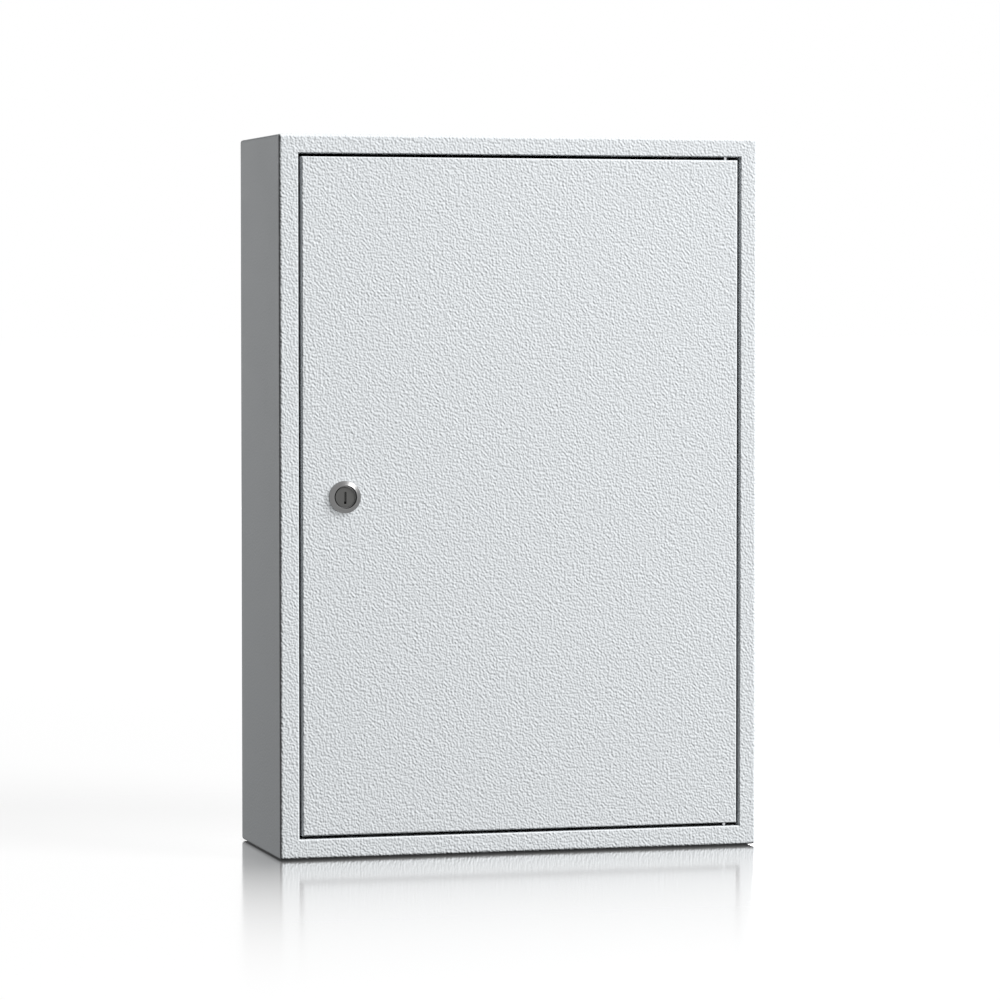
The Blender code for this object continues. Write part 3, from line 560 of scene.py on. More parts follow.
def object_from(name: str, bm: bmesh.types.BMesh) -> bpy.types.Object:
    """Links a mesh being built as a new object, and frees it."""
    return link(name, object_mesh(bm, name))


def link(name: str, data: bpy.types.ID) -> bpy.types.Object:
    """Links data as a new object.

    Args:
        name: the object's name.
        data: its mesh, curve, lamp or camera.

    Returns:
        The object.
    """
    obj = bpy.data.objects.new(name, data)
    bpy.context.scene.collection.objects.link(obj)
    return obj


def applied(obj: bpy.types.Object) -> bpy.types.Mesh:
    """Applies an object's modifiers and removes the object.

    Args:
        obj: the object.

    Returns:
        The finished mesh.
    """
    bpy.context.view_layer.update()
    evaluated = obj.evaluated_get(bpy.context.evaluated_depsgraph_get())
    mesh = bpy.data.meshes.new_from_object(evaluated)
    bpy.data.objects.remove(obj, do_unlink=True)
    return mesh


def apply_in_place(obj: bpy.types.Object) -> bpy.types.Mesh:
    """Applies an object's modifiers and removes them from it.

    Args:
        obj: the object, which keeps its old mesh.

    Returns:
        The finished mesh.
    """
    bpy.context.view_layer.update()
    mesh = bpy.data.meshes.new_from_object(obj.evaluated_get(bpy.context.evaluated_depsgraph_get()))
    obj.modifiers.clear()
    return mesh


def without_slivers(mesh: bpy.types.Mesh) -> bpy.types.Mesh:
    """Merges points that lie together and removes faces without area.

    Args:
        mesh: the mesh, which is changed.

    Returns:
        The same mesh.
    """
    bm = bmesh.new()
    bm.from_mesh(mesh)
    bmesh.ops.remove_doubles(bm, verts=bm.verts[:], dist=SLIVER)
    bmesh.ops.dissolve_degenerate(bm, edges=bm.edges[:], dist=SLIVER)
    bm.to_mesh(mesh)
    bm.free()
    return mesh


def combine(obj: bpy.types.Object, other: bpy.types.Object, operation: str) -> None:
    """Cuts, joins or crosses an object with another.

    Args:
        obj: the object that is changed.
        other: the other, which is removed.
        operation: DIFFERENCE, UNION or INTERSECT.
    """
    modifier = obj.modifiers.new("combine", "BOOLEAN")
    modifier.operation = operation
    modifier.solver = "EXACT"
    modifier.object = other
    obj.data = without_slivers(apply_in_place(obj))
    bpy.data.objects.remove(other, do_unlink=True)


def rounded_edges(obj: bpy.types.Object, radius: float, segments: int = 2) -> None:
    """Breaks an object's sharp edges with a modifier.

    Args:
        obj: the object.
        radius: the edges' radius.
        segments: how many steps it has.
    """
    bevel = obj.modifiers.new("edges", "BEVEL")
    bevel.width = radius
    bevel.segments = segments
    bevel.limit_method = "ANGLE"
    bevel.angle_limit = SHARP_ANGLE


def smooth(mesh: bpy.types.Mesh) -> bpy.types.Mesh:
    """Shades a mesh smooth, with edges sharper than a bend kept and flat faces flat.

    Args:
        mesh: the mesh.

    Returns:
        The shaded mesh.
    """
    mesh.shade_smooth()
    mesh.set_sharp_from_angle(angle=SHARP_ANGLE)
    obj = link("shading", mesh)
    weighted = obj.modifiers.new("shading", "WEIGHTED_NORMAL")
    weighted.keep_sharp = True
    return applied(obj)


def add_box(bm: bmesh.types.BMesh, low: Sequence[float], high: Sequence[float]) -> None:
    """Adds a box.

    Args:
        bm: the mesh being built.
        low: the box's lowest corner.
        high: its highest corner.
    """
    low, high = Vector(low), Vector(high)
    place = Matrix.Translation((low + high) / 2) @ Matrix.Diagonal((*(high - low), 1))
    bmesh.ops.create_cube(bm, size=1, matrix=place)


def box_object(name: str, low: Sequence[float], high: Sequence[float]) -> bpy.types.Object:
    """Links a box as a new object.

    Args:
        name: the object's name.
        low: the box's lowest corner.
        high: its highest corner.

    Returns:
        The object.
    """
    bm = bmesh.new()
    add_box(bm, low, high)
    return object_from(name, bm)


def add_cylinder(bm: bmesh.types.BMesh, radius: float, length: float, steps: int, place: Matrix) -> None:
    """Adds a closed cylinder.

    Args:
        bm: the mesh being built.
        radius: the cylinder's radius.
        length: its length, half of it on either side of its middle.
        steps: how many sides it has.
        place: from the cylinder's middle, with its axis along Z, to where it goes.
    """
    bmesh.ops.create_cone(
        bm,
        cap_ends=True,
        segments=steps,
        radius1=radius,
        radius2=radius,
        depth=length,
        matrix=place,
    )


def round_bends(bm: bmesh.types.BMesh, edges: Iterable[bmesh.types.BMEdge], radius: float) -> None:
    """Turns edges of a sheet into round bends.

    Args:
        bm: the mesh being built.
        edges: the folds' edges.
        radius: the bends' radius.
    """
    bmesh.ops.bevel(
        bm,
        geom=list(edges),
        offset=radius,
        offset_type="OFFSET",
        segments=BEND_SEGMENTS,
        profile=ROUND_PROFILE,
        affect="EDGES",
    )


def largest_facing(bm: bmesh.types.BMesh, direction: Vector) -> bmesh.types.BMFace:
    """The largest face whose normal points this way."""
    bm.normal_update()
    return max(bm.faces, key=lambda face: face.normal.dot(direction) * face.calc_area())


def edge_at(bm: bmesh.types.BMesh, places: dict[int, float]) -> bmesh.types.BMEdge:
    """Finds the longest edge whose two ends lie at given values of some axes.

    Args:
        bm: the mesh being built.
        places: the value for each axis, by the axis's number.

    Returns:
        The edge.
    """
    found = [
        edge
        for edge in bm.edges
        if all(abs(vert.co[axis] - value) < MERGE for vert in edge.verts for axis, value in places.items())
    ]
    return max(found, key=lambda edge: edge.calc_length())


def add_lip(bm: bmesh.types.BMesh, edge: bmesh.types.BMEdge, width: float, relief: float) -> None:
    """Turns a lip to the right from an upright edge.

    Args:
        bm: the mesh being built.
        edge: the upright edge.
        width: how far the lip goes.
        relief: how far the lip stops short of each end.
    """
    lower, upper = sorted(edge.verts, key=lambda vert: vert.co.z)
    edge, start = bmesh.utils.edge_split(edge, lower, relief / edge.calc_length())
    rest = next(edge for edge in start.link_edges if upper in edge.verts)
    rest, end = bmesh.utils.edge_split(rest, upper, relief / rest.calc_length())
    middle = next(edge for edge in start.link_edges if end in edge.verts)
    made = bmesh.ops.extrude_edge_only(bm, edges=[middle])["geom"]
    verts = [item for item in made if isinstance(item, bmesh.types.BMVert)]
    bmesh.ops.translate(bm, verts=verts, vec=RIGHTWARD * width)


def folded_sheet(section: Sequence[Sequence[float]], direction: Vector, length: float) -> bmesh.types.BMesh:
    """Draws an open folded surface that faces the front.

    Args:
        section: the points of its section.
        direction: the way along which the section is drawn.
        length: how far.

    Returns:
        The surface.
    """
    bm = bmesh.new()
    verts = [bm.verts.new(point) for point in section]
    edges = [bm.edges.new(pair) for pair in zip(verts, verts[1:])]
    made = bmesh.ops.extrude_edge_only(bm, edges=edges)["geom"]
    drawn = [item for item in made if isinstance(item, bmesh.types.BMVert)]
    bmesh.ops.translate(bm, verts=drawn, vec=direction * length)
    bm.normal_update()
    if sum(face.normal.dot(OUT) * face.calc_area() for face in bm.faces) < 0:
        bmesh.ops.reverse_faces(bm, faces=bm.faces[:])
    return bm


def thicken(obj: bpy.types.Object, thickness: float) -> None:
    """Gives an open folded surface its sheet thickness, away from the side that shows.

    Args:
        obj: the surface's object.
        thickness: the sheet's thickness.
    """
    solid = obj.modifiers.new("sheet", "SOLIDIFY")
    solid.thickness = thickness
    solid.offset = -1
    solid.use_even_offset = True
    solid.use_quality_normals = True
    obj.data = apply_in_place(obj)


def rounded(profile: Sequence[Point], radius: float, closed: bool) -> list[Point]:
    """A profile with each corner replaced by a short curve.

    Args:
        profile: its points, as (radius, height).
        radius: how far from the corner the curve starts, at most.
        closed: True if the last point joins the first.

    Returns:
        The points of the softened profile.
    """
    count = len(profile)
    points: list[Point] = []
    for index, corner in enumerate(profile):
        if not closed and index in (0, count - 1):
            points.append(corner)
            continue
        here = Vector(corner)
        before = Vector(profile[index - 1]) - here
        after = Vector(profile[(index + 1) % count]) - here
        reach = min(radius, before.length * CORNER_SHARE, after.length * CORNER_SHARE)
        start = here + before.normalized() * reach
        end = here + after.normalized() * reach
        for step in range(CORNER_SEGMENTS + 1):
            t = step / CORNER_SEGMENTS
            point = start * (1 - t) ** 2 + here * 2 * t * (1 - t) + end * t**2
            points.append((point.x, point.y))
    return points


def turned(profile: Sequence[Point], steps: int, closed: bool, warp: Warp | None = None) -> bmesh.types.BMesh:
    """A shape turned about local Z.

    Args:
        profile: (radius, height) points. An open profile starts and ends on the axis.
        steps: how many times round.
        closed: True for a ring, whose last point joins the first.
        warp: changes a radius by radius, height and angle, such as for a thread.

    Returns:
        The closed shape, facing outwards.
    """
    bm = bmesh.new()
    rings = []
    for step in range(steps):
        angle = 2 * math.pi * step / steps
        ring = []
        for radius, height in profile:
            reach = warp(radius, height, angle) if warp else radius
            ring.append(bm.verts.new((reach * math.cos(angle), reach * math.sin(angle), height)))
        rings.append(ring)
    pairs = list(zip(range(len(profile)), range(1, len(profile))))
    if closed:
        pairs.append((len(profile) - 1, 0))
    for ring, following in zip(rings, rings[1:] + rings[:1]):
        for a, b in pairs:
            bm.faces.new((ring[a], ring[b], following[b], following[a]))
    bmesh.ops.remove_doubles(bm, verts=bm.verts[:], dist=MERGE / 10)
    bmesh.ops.dissolve_degenerate(bm, edges=bm.edges[:], dist=MERGE / 10)
    bmesh.ops.recalc_face_normals(bm, faces=bm.faces[:])
    return bm


def plate(outline: Sequence[Point], thickness: float) -> bmesh.types.BMesh:
    """A flat plate in local XY, with its middle at height 0.

    Args:
        outline: its outline.
        thickness: its thickness.

    Returns:
        The closed plate.
    """
    bm = bmesh.new()
    face = bm.faces.new([bm.verts.new((x, y, -thickness / 2)) for x, y in outline])
    made = bmesh.ops.extrude_face_region(bm, geom=[face])["geom"]
    verts = [item for item in made if isinstance(item, bmesh.types.BMVert)]
    bmesh.ops.translate(bm, verts=verts, vec=UPWARD * thickness)
    bmesh.ops.recalc_face_normals(bm, faces=bm.faces[:])
    return bm


def arc(centre: Point, radius: float, start: float, end: float, segments: int) -> list[Point]:
    """Points along an arc, from one angle to another."""
    angles = [start + (end - start) * step / segments for step in range(segments + 1)]
    return [(centre[0] + radius * math.cos(a), centre[1] + radius * math.sin(a)) for a in angles]


def rounded_rectangle(half_width: float, half_height: float, corner: float, segments: int) -> list[Point]:
    """The outline of a rectangle with round corners, about the origin.

    Args:
        half_width: half of its width.
        half_height: half of its height.
        corner: the corners' radius.
        segments: how many steps each corner has.

    Returns:
        The outline's points.
    """
    outline: list[Point] = []
    quarter = math.pi / 2
    for turn, (x, y) in enumerate(((1, 1), (-1, 1), (-1, -1), (1, -1))):
        centre = (x * (half_width - corner), y * (half_height - corner))
        outline += arc(centre, corner, turn * quarter, (turn + 1) * quarter, segments)
    return outline


def add_piece(
    name: str,
    mesh: bpy.types.Mesh,
    material: bpy.types.Material,
    body: Body,
    nodes: Sequence[str] = (),
) -> bpy.types.Object:
    """Adds a finished piece to the cabinet.

    Args:
        name: the piece's name.
        mesh: its finished mesh, in place.
        material: its finish.
        body: the body that it rides on.
        nodes: the nodes of the frame that it replaces.

    Returns:
        The piece's object.
    """
    mesh.name = name
    mesh.materials.clear()
    mesh.materials.append(material)
    piece = link(name, mesh)
    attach(piece, body.value)
    if nodes:
        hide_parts(*nodes)
    LOG.info("%s: %d faces on %s", name, len(mesh.polygons), body.value)
    return piece


class LineRow:
    """A Geometry Nodes tree that repeats one shape along a line."""

    INPUTS = {
        "Shape": "NodeSocketObject",
        "Count": "NodeSocketInt",
        "Start": "NodeSocketVector",
        "Step": "NodeSocketVector",
        "Finish": "NodeSocketMaterial",
    }

    def __init__(self) -> None:
        """Builds the tree."""
        self.tree = bpy.data.node_groups.new("line_row", "GeometryNodeTree")
        self.sockets = {}
        for label, kind in self.INPUTS.items():
            socket = self.tree.interface.new_socket(name=label, in_out="INPUT", socket_type=kind)
            self.sockets[label] = socket.identifier
        self.tree.interface.new_socket(name="Geometry", in_out="OUTPUT", socket_type="NodeSocketGeometry")
        graph = Graph(self.tree)
        given = graph.add("NodeGroupInput").outputs
        line = graph.add(
            "GeometryNodeMeshLine",
            {"Count": given["Count"], "Start Location": given["Start"], "Offset": given["Step"]},
            mode="OFFSET",
        )
        shape = graph.add("GeometryNodeObjectInfo", {"Object": given["Shape"]})
        copies = graph.add(
            "GeometryNodeInstanceOnPoints",
            {"Points": line.outputs[0], "Instance": shape.outputs["Geometry"]},
        )
        real = graph.add("GeometryNodeRealizeInstances", {"Geometry": copies.outputs[0]})
        dressed = graph.add(
            "GeometryNodeSetMaterial",
            {"Geometry": real.outputs[0], "Material": given["Finish"]},
        )
        graph.add("NodeGroupOutput", {"Geometry": dressed.outputs[0]})

    def make(
        self,
        shape: bmesh.types.BMesh,
        count: int,
        start: Vector,
        step: Vector,
        finish: bpy.types.Material,
    ) -> bpy.types.Object:
        """Repeats a shape along a line.

        Args:
            shape: the shape, which is used up.
            count: how many times.
            start: where the first one's origin goes.
            step: from each to the next.
            finish: the material of all of them.

        Returns:
            One object with all the copies as a plain mesh.
        """
        original = object_from("row_shape", shape)
        carrier = link("row", bpy.data.meshes.new("row"))
        modifier = carrier.modifiers.new("row", "NODES")
        modifier.node_group = self.tree
        modifier[self.sockets["Shape"]] = original
        modifier[self.sockets["Count"]] = count
        modifier[self.sockets["Start"]] = tuple(start)
        modifier[self.sockets["Step"]] = tuple(step)
        modifier[self.sockets["Finish"]] = finish
        carrier.data = apply_in_place(carrier)
        bpy.data.objects.remove(original, do_unlink=True)
        return carrier


@dataclass
class Workshop:
    """What every sub-assembly needs: the finishes and the row tree."""

    finishes: Finishes
    rows: LineRow


# Sheet metal


@dataclass
class CaseShell:
    """The welded case: walls, back, and the front frame folded into the opening."""

    shop: Workshop
    sheet: float = 1 * MM
    bend: float = 2.3 * MM
    frame_left: float = 15 * MM
    frame_right: float = 13.5 * MM
    frame_top: float = 14.5 * MM
    frame_bottom: float = 15 * MM
    frame_return: float = 18 * MM
    frame_bend: float = 1.0 * MM
    lip: float = 8 * MM
    lip_relief: float = 6 * MM
    wall_hole: float = 8 * MM
    wall_hole_side: float = 45 * MM
    wall_hole_steps: int = 48
    bush_hole: float = 5.4 * MM
    stem_hole: float = 4 * MM
    edge: float = 0.18 * MM
    weld_count: int = 7
    weld_radius: float = 2.6 * MM
    weld_depth: float = 0.22 * MM
    weld_floor: float = 0.55  # the share of a dent's radius that is flat
    weld_softness: float = 0.4 * MM
    weld_steps: int = 24
    weld_end: float = 18 * MM  # from an upright's end to its first spot weld
    box: Box = field(init=False)

    def __post_init__(self) -> None:
        """Reads the case's place from the frame."""
        self.box = Box.of("case_shell")

    @property
    def left(self) -> float:
        """The opening's left edge."""
        return self.box.low.x + self.frame_left

    @property
    def right(self) -> float:
        """The opening's right edge."""
        return self.box.high.x - self.frame_right

    @property
    def bottom(self) -> float:
        """The opening's lower edge."""
        return self.box.low.z + self.frame_bottom

    @property
    def top(self) -> float:
        """The opening's upper edge."""
        return self.box.high.z - self.frame_top

    def folded(self) -> bmesh.types.BMesh:
        """Folds the case from one open surface.

        Returns:
            The surface, without its thickness.
        """
        bm = bmesh.new()
        add_box(bm, self.box.low, self.box.high)
        round_bends(bm, bm.edges[:], self.bend)
        opening = largest_facing(bm, OUT)
        bmesh.ops.inset_individual(bm, faces=[opening], thickness=self.frame_top)
        middle = self.box.middle
        for vert in opening.verts:
            vert.co.x = self.left if vert.co.x < middle.x else self.right
            vert.co.z = self.bottom if vert.co.z < middle.z else self.top
        frame_edges = opening.edges[:]
        inner = bmesh.ops.extrude_discrete_faces(bm, faces=[opening])["faces"]
        bmesh.ops.translate(bm, verts=inner[0].verts[:], vec=-OUT * self.frame_return)
        bmesh.ops.delete(bm, geom=inner, context="FACES_ONLY")
        edge = edge_at(bm, {0: self.left, 1: self.box.low.y + self.frame_return})
        add_lip(bm, edge, self.lip, self.lip_relief)
        round_bends(bm, [edge for edge in frame_edges if edge.is_valid], self.frame_bend)
        return bm

    def cylinders(
        self, places: Iterable[Vector], axis: Vector, diameter: float, steps: int
    ) -> bpy.types.Object:
        """Makes the cutters for round holes in the sheet.

        Args:
            places: the holes' centres.
            axis: the direction of the holes.
            diameter: their diameter.
            steps: how many sides each has.

        Returns:
            One object with all the cutters.
        """
        bm = bmesh.new()
        turn = axis.to_track_quat("Z", "Y").to_matrix().to_4x4()
        for centre in places:
            length = 2 * (self.sheet + OVERCUT)
            add_cylinder(bm, diameter / 2, length, steps, Matrix.Translation(centre) @ turn)
        return object_from("holes", bm)

    def wall_hole_places(self) -> list[Vector]:
        """Places the holes for the wall screws, between two bars at the top and below the last.

        Returns:
            The four centres.
        """
        rows = sorted(Box.of(f"hook_bar_{row:02d}").low.z for row in (1, BAR_COUNT))
        pitch = Box.of("hook_bar_01").low.z - Box.of("hook_bar_02").low.z
        height = Box.of("hook_bar_01").high.z - Box.of("hook_bar_01").low.z
        below = (pitch - height) / 2
        side = self.box.high.x - self.wall_hole_side
        back = self.box.high.y
        return [Vector((x, back, z - below)) for x in (-side, side) for z in rows]

    def weld_dents(self) -> list[bpy.types.Object]:
        """Makes cutters for the shallow dents of the spot welds in the back, behind the uprights' feet.

        Returns:
            One object for each row of dents.
        """
        radius = self.weld_radius
        depth = self.weld_depth
        flat = radius * self.weld_floor
        profile = ((0, -depth), (flat, -depth), (radius, 0), (radius, depth), (0, depth))
        soft_profile = rounded(profile, self.weld_softness, False)
        dents = []
        for node in ("upright_left", "upright_right"):
            box = Box.of(node)
            first = box.low.z + self.weld_end
            step = (box.high.z - self.weld_end - first) / (self.weld_count - 1)
            for foot in (box.low.x, box.high.x):
                x = foot + math.copysign(UPRIGHT_FOOT / 2, box.middle.x - foot)
                shape = turned(soft_profile, self.weld_steps, False)
                shape.transform(Matrix.Rotation(math.radians(-90), 4, "X"))
                start = Vector((x, self.box.high.y, first))
                dents.append(
                    self.shop.rows.make(shape, self.weld_count, start, UPWARD * step, self.shop.finishes.coat)
                )
        return dents

    def build(self) -> None:
        """Makes the case and puts it in the frame."""
        case = object_from("case", self.folded())
        thicken(case, self.sheet)
        walls = self.cylinders(self.wall_hole_places(), OUT, self.wall_hole, self.wall_hole_steps)
        combine(case, walls, "DIFFERENCE")
        pins = [Box.of(f"pivot_pin_{end}").middle for end in ("top", "bottom")]
        pivots = [Vector((pin.x, pin.y, z)) for pin, z in zip(pins, (self.top, self.bottom))]
        combine(case, self.cylinders(pivots, UPWARD, self.bush_hole, SMALL_HOLE_STEPS), "DIFFERENCE")
        lip_depth = self.box.low.y + self.frame_return
        bumpers = [Box.of(f"door_bumper_{end}").middle for end in ("top", "bottom")]
        stems = [Vector((bumper.x, lip_depth, bumper.z)) for bumper in bumpers]
        combine(case, self.cylinders(stems, OUT, self.stem_hole, SMALL_HOLE_STEPS), "DIFFERENCE")
        for dents in self.weld_dents():
            combine(case, dents, "DIFFERENCE")
        rounded_edges(case, self.edge)
        mesh = smooth(applied(case))
        add_piece("case_shell_fine", mesh, self.shop.finishes.coat, Body.CABINET, ("case_shell",))


@dataclass
class DoorPan:
    """The door's skin with its folded edges and the second fold on the lock side."""

    shop: Workshop
    lock_axis: Vector
    sheet: float = 1 * MM
    bend: float = 1.4 * MM
    lip: float = 8 * MM
    lip_relief: float = 4 * MM
    lock_hole: float = 18.6 * MM
    lock_hole_flats: float = 16.2 * MM
    pin_hole: float = 3.6 * MM
    edge: float = 0.15 * MM
    box: Box = field(init=False)

    def __post_init__(self) -> None:
        """Reads the door's place from the frame."""
        self.box = Box.of("door_pan")

    def folded(self) -> bmesh.types.BMesh:
        """Folds the door from one open surface.

        Returns:
            The surface, without its thickness.
        """
        bm = bmesh.new()
        add_box(bm, self.box.low, self.box.high)
        bmesh.ops.delete(bm, geom=[largest_facing(bm, -OUT)], context="FACES_ONLY")
        add_lip(bm, edge_at(bm, {0: self.box.low.x, 1: self.box.high.y}), self.lip, self.lip_relief)
        round_bends(bm, largest_facing(bm, OUT).edges[:], self.bend)
        return bm

    def lock_cutter(self) -> bpy.types.Object:
        """Makes the cutter for the round lock hole with its two flats.

        Returns:
            The cutter, in place.
        """
        centre = Vector((self.lock_axis.x, self.box.low.y, self.lock_axis.z))
        length = 2 * (self.sheet + OVERCUT)
        bm = bmesh.new()
        place = Matrix.Translation(centre) @ FACING_OUT
        add_cylinder(bm, self.lock_hole / 2, length, TURNED_STEPS, place)
        cutter = object_from("lock_hole", bm)
        half = Vector((self.lock_hole_flats / 2, length, self.lock_hole))
        combine(cutter, box_object("flats", centre - half, centre + half), "INTERSECT")
        return cutter

    def build(self) -> None:
        """Makes the door and puts it in the frame."""
        door = object_from("door", self.folded())
        thicken(door, self.sheet)
        combine(door, self.lock_cutter(), "DIFFERENCE")
        pins = bmesh.new()
        for end, z in (("top", self.box.high.z), ("bottom", self.box.low.z)):
            pin = Box.of(f"pivot_pin_{end}").middle
            length = 2 * (self.sheet + OVERCUT)
            place = Matrix.Translation((pin.x, pin.y, z))
            add_cylinder(pins, self.pin_hole / 2, length, SMALL_HOLE_STEPS, place)
        combine(door, object_from("pin_holes", pins), "DIFFERENCE")
        rounded_edges(door, self.edge)
        mesh = smooth(applied(door))
        add_piece("door_pan_fine", mesh, self.shop.finishes.coat, Body.DOOR, ("door_pan",))


@dataclass
class Uprights:
    """Both slotted rails of hat section on the back."""

    shop: Workshop
    sheet: float = 1 * MM
    web: float = 18 * MM
    bend: float = 1.6 * MM
    slot_width: float = 2.6 * MM
    slot_height: float = 10.9 * MM
    slot_corner: float = 0.9 * MM
    slot_corner_segments: int = 4
    slot_pitch: float = 25 * MM
    slot_raise: float = 8.2 * MM  # from a bar's lower edge to its slot's lower end
    edge: float = 0.15 * MM

    def slot_shape(self) -> bmesh.types.BMesh:
        """Makes the cutter for one slot with rounded corners.

        Returns:
            The cutter about its own middle, along Y.
        """
        outline = rounded_rectangle(
            self.slot_width / 2, self.slot_height / 2, self.slot_corner, self.slot_corner_segments
        )
        shape = plate(outline, 2 * (self.sheet + OVERCUT))
        shape.transform(FACING_OUT)
        return shape

    def rail(self, node: str) -> bpy.types.Object:
        """Makes one rail with its bends and slots.

        Args:
            node: the rail's node in the frame.

        Returns:
            The rail, in place.
        """
        box = Box.of(node)
        middle = box.middle.x
        front = box.low.y
        back = box.high.y - self.sheet
        web = self.web / 2
        section = [
            (middle + x, y, box.low.z)
            for x, y in (
                (box.low.x - middle, back),
                (-web, back),
                (-web, front),
                (web, front),
                (web, back),
                (box.high.x - middle, back),
            )
        ]
        bm = folded_sheet(section, UPWARD, box.high.z - box.low.z)
        round_bends(bm, [edge for edge in bm.edges if len(edge.link_faces) == 2], self.bend)
        rail = object_from(node, bm)
        thicken(rail, self.sheet)
        lowest, highest = (Box.of(f"hook_bar_{row:02d}").low.z for row in (BAR_COUNT, 1))
        count = round((highest - lowest) / self.slot_pitch) + 1
        start = Vector((middle, front + self.sheet / 2, lowest + self.slot_raise + self.slot_height / 2))
        zinc = self.shop.finishes.zinc
        slots = self.shop.rows.make(self.slot_shape(), count, start, UPWARD * self.slot_pitch, zinc)
        combine(rail, slots, "DIFFERENCE")
        rounded_edges(rail, self.edge)
        return rail

    def build(self) -> None:
        """Makes both rails and puts them in the frame."""
        for node in ("upright_left", "upright_right"):
            mesh = smooth(applied(self.rail(node)))
            add_piece(f"{node}_fine", mesh, self.shop.finishes.zinc, Body.CABINET, (node,))


@dataclass
class HookBars:
    """The folded bars with their pressed band, their lugs, ten curved hooks each, and the printed numbers."""

    shop: Workshop
    sheet: float = 1 * MM
    top_fold: float = 7 * MM
    bottom_fold: float = 5 * MM
    bend: float = 1.6 * MM
    band_depth: float = 0.5 * MM
    band_height: float = 13 * MM
    band_gap: float = 3.5 * MM
    root_height: float = 4 * MM
    hooks: int = 10
    hook_pitch: float = 35 * MM
    hook_width: float = 5 * MM
    hook_thickness: float = 1.2 * MM
    hook_length: float = 24 * MM
    hook_start: float = math.radians(4)
    hook_end: float = math.radians(66)
    hook_stations: int = 12
    hook_corner: float = 0.3 * MM
    hook_corner_share: float = 0.9  # of the hook's half width, at most
    hook_corner_segments: int = 2
    root_flare: float = 0.35 * MM  # how much thicker a hook is where it leaves the bar
    root_length: float = 3 * MM
    ear_height: float = 20 * MM
    stand_off: float = 8 * MM
    neck: float = 7 * MM
    drop: float = 3 * MM
    tongue: float = 2.5 * MM
    edge: float = 0.14 * MM
    number_height: float = 6.4 * MM
    number_segments: int = 3
    ink_height: float = 0.04 * MM

    def face_depth(self, box: Box) -> float:
        """The y of a bar's face, worked out from the end of its lugs."""
        return box.high.y - (self.stand_off + SEAT + self.sheet + SEAT + self.tongue)

    def bar_sheet(self, box: Box) -> bpy.types.Object:
        """Makes a folded bar with its pressed band and its lugs.

        Args:
            box: the bar's box in the frame.

        Returns:
            The bar, in place.
        """
        height = box.high.z - box.low.z
        band_top = height - self.band_gap
        band_bottom = band_top - self.band_height
        profile = (
            (self.top_fold, height),
            (0, height),
            (0, band_top),
            (self.band_depth, band_top - self.band_depth),
            (self.band_depth, band_bottom + self.band_depth),
            (0, band_bottom),
            (0, 0),
            (self.bottom_fold, 0),
        )
        face = self.face_depth(box)
        section = [(box.low.x, face + y, box.low.z + z) for y, z in profile]
        bm = folded_sheet(section, RIGHTWARD, box.high.x - box.low.x)
        folds = [edge_at(bm, {1: face, 2: z}) for z in (box.low.z, box.high.z)]
        round_bends(bm, folds, self.bend)
        bar = object_from("bar", bm)
        thicken(bar, self.sheet)
        combine(bar, self.ears(box), "UNION")
        rounded_edges(bar, self.edge)
        bar.data = apply_in_place(bar)
        return bar

    def ears(self, box: Box) -> bpy.types.Object:
        """Makes both ears with the tongues that hook down behind the uprights.

        Args:
            box: the bar's box in the frame.

        Returns:
            One object with both, in place.
        """
        height = box.high.z - box.low.z
        inside = (self.band_depth + self.sheet) / 2
        low = (height - self.ear_height) / 2
        high = low + self.ear_height
        neck_low = (height - self.neck) / 2
        neck_high = neck_low + self.neck
        behind = self.stand_off + SEAT + self.sheet + SEAT
        end = behind + self.tongue
        outline = (
            (inside, low),
            (self.stand_off, low),
            (self.stand_off, neck_low),
            (behind, neck_low),
            (behind, neck_low - self.drop),
            (end, neck_low - self.drop),
            (end, neck_high),
            (self.stand_off, neck_high),
            (self.stand_off, high),
            (inside, high),
        )
        to_side = Matrix(((0, 0, 1, 0), (1, 0, 0, 0), (0, 1, 0, 0), (0, 0, 0, 1)))
        shape = plate(outline, self.sheet)
        shape.transform(to_side)
        span = box.high.x - box.low.x - self.sheet
        start = Vector((box.low.x + self.sheet / 2, self.face_depth(box), box.low.z))
        return self.shop.rows.make(shape, 2, start, RIGHTWARD * span, self.shop.finishes.zinc)

    def hook_shape(self) -> bmesh.types.BMesh:
        """Makes one hook, a rounded strip that curves up to a round tip.

        Returns:
            The hook. Local -Y runs out of the bar.
        """
        sweep = self.hook_end - self.hook_start
        radius = self.hook_length / sweep
        tip = self.hook_width / 2
        sunk = self.sheet / 2
        bm = bmesh.new()
        rings = []
        for station in range(self.hook_stations + 1):
            share = math.sin(station / self.hook_stations * math.pi / 2)
            along = share * self.hook_length
            angle = self.hook_start + sweep * share
            left = self.hook_length - along
            half = tip if left > tip else math.sqrt(max(tip**2 - (tip - left) ** 2, 0))
            half = max(half, self.hook_corner)
            flare = self.root_flare * max(1 - along / self.root_length, 0) ** 2
            out = radius * (math.sin(angle) - math.sin(self.hook_start))
            up = radius * (math.cos(self.hook_start) - math.cos(angle))
            normal = Vector((0, math.sin(angle), math.cos(angle)))
            rings.append(self._hook_ring(bm, Vector((0, -out, up)), normal, half + flare, flare))
        root = self._hook_ring(bm, Vector((0, sunk, 0)), UPWARD, tip + self.root_flare, self.root_flare)
        rings.insert(0, root)
        for ring, following in zip(rings, rings[1:]):
            count = len(ring)
            for i in range(count):
                bm.faces.new((ring[i], ring[(i + 1) % count], following[(i + 1) % count], following[i]))
        bm.faces.new(rings[0])
        bm.faces.new(rings[-1])
        bmesh.ops.recalc_face_normals(bm, faces=bm.faces[:])
        return bm

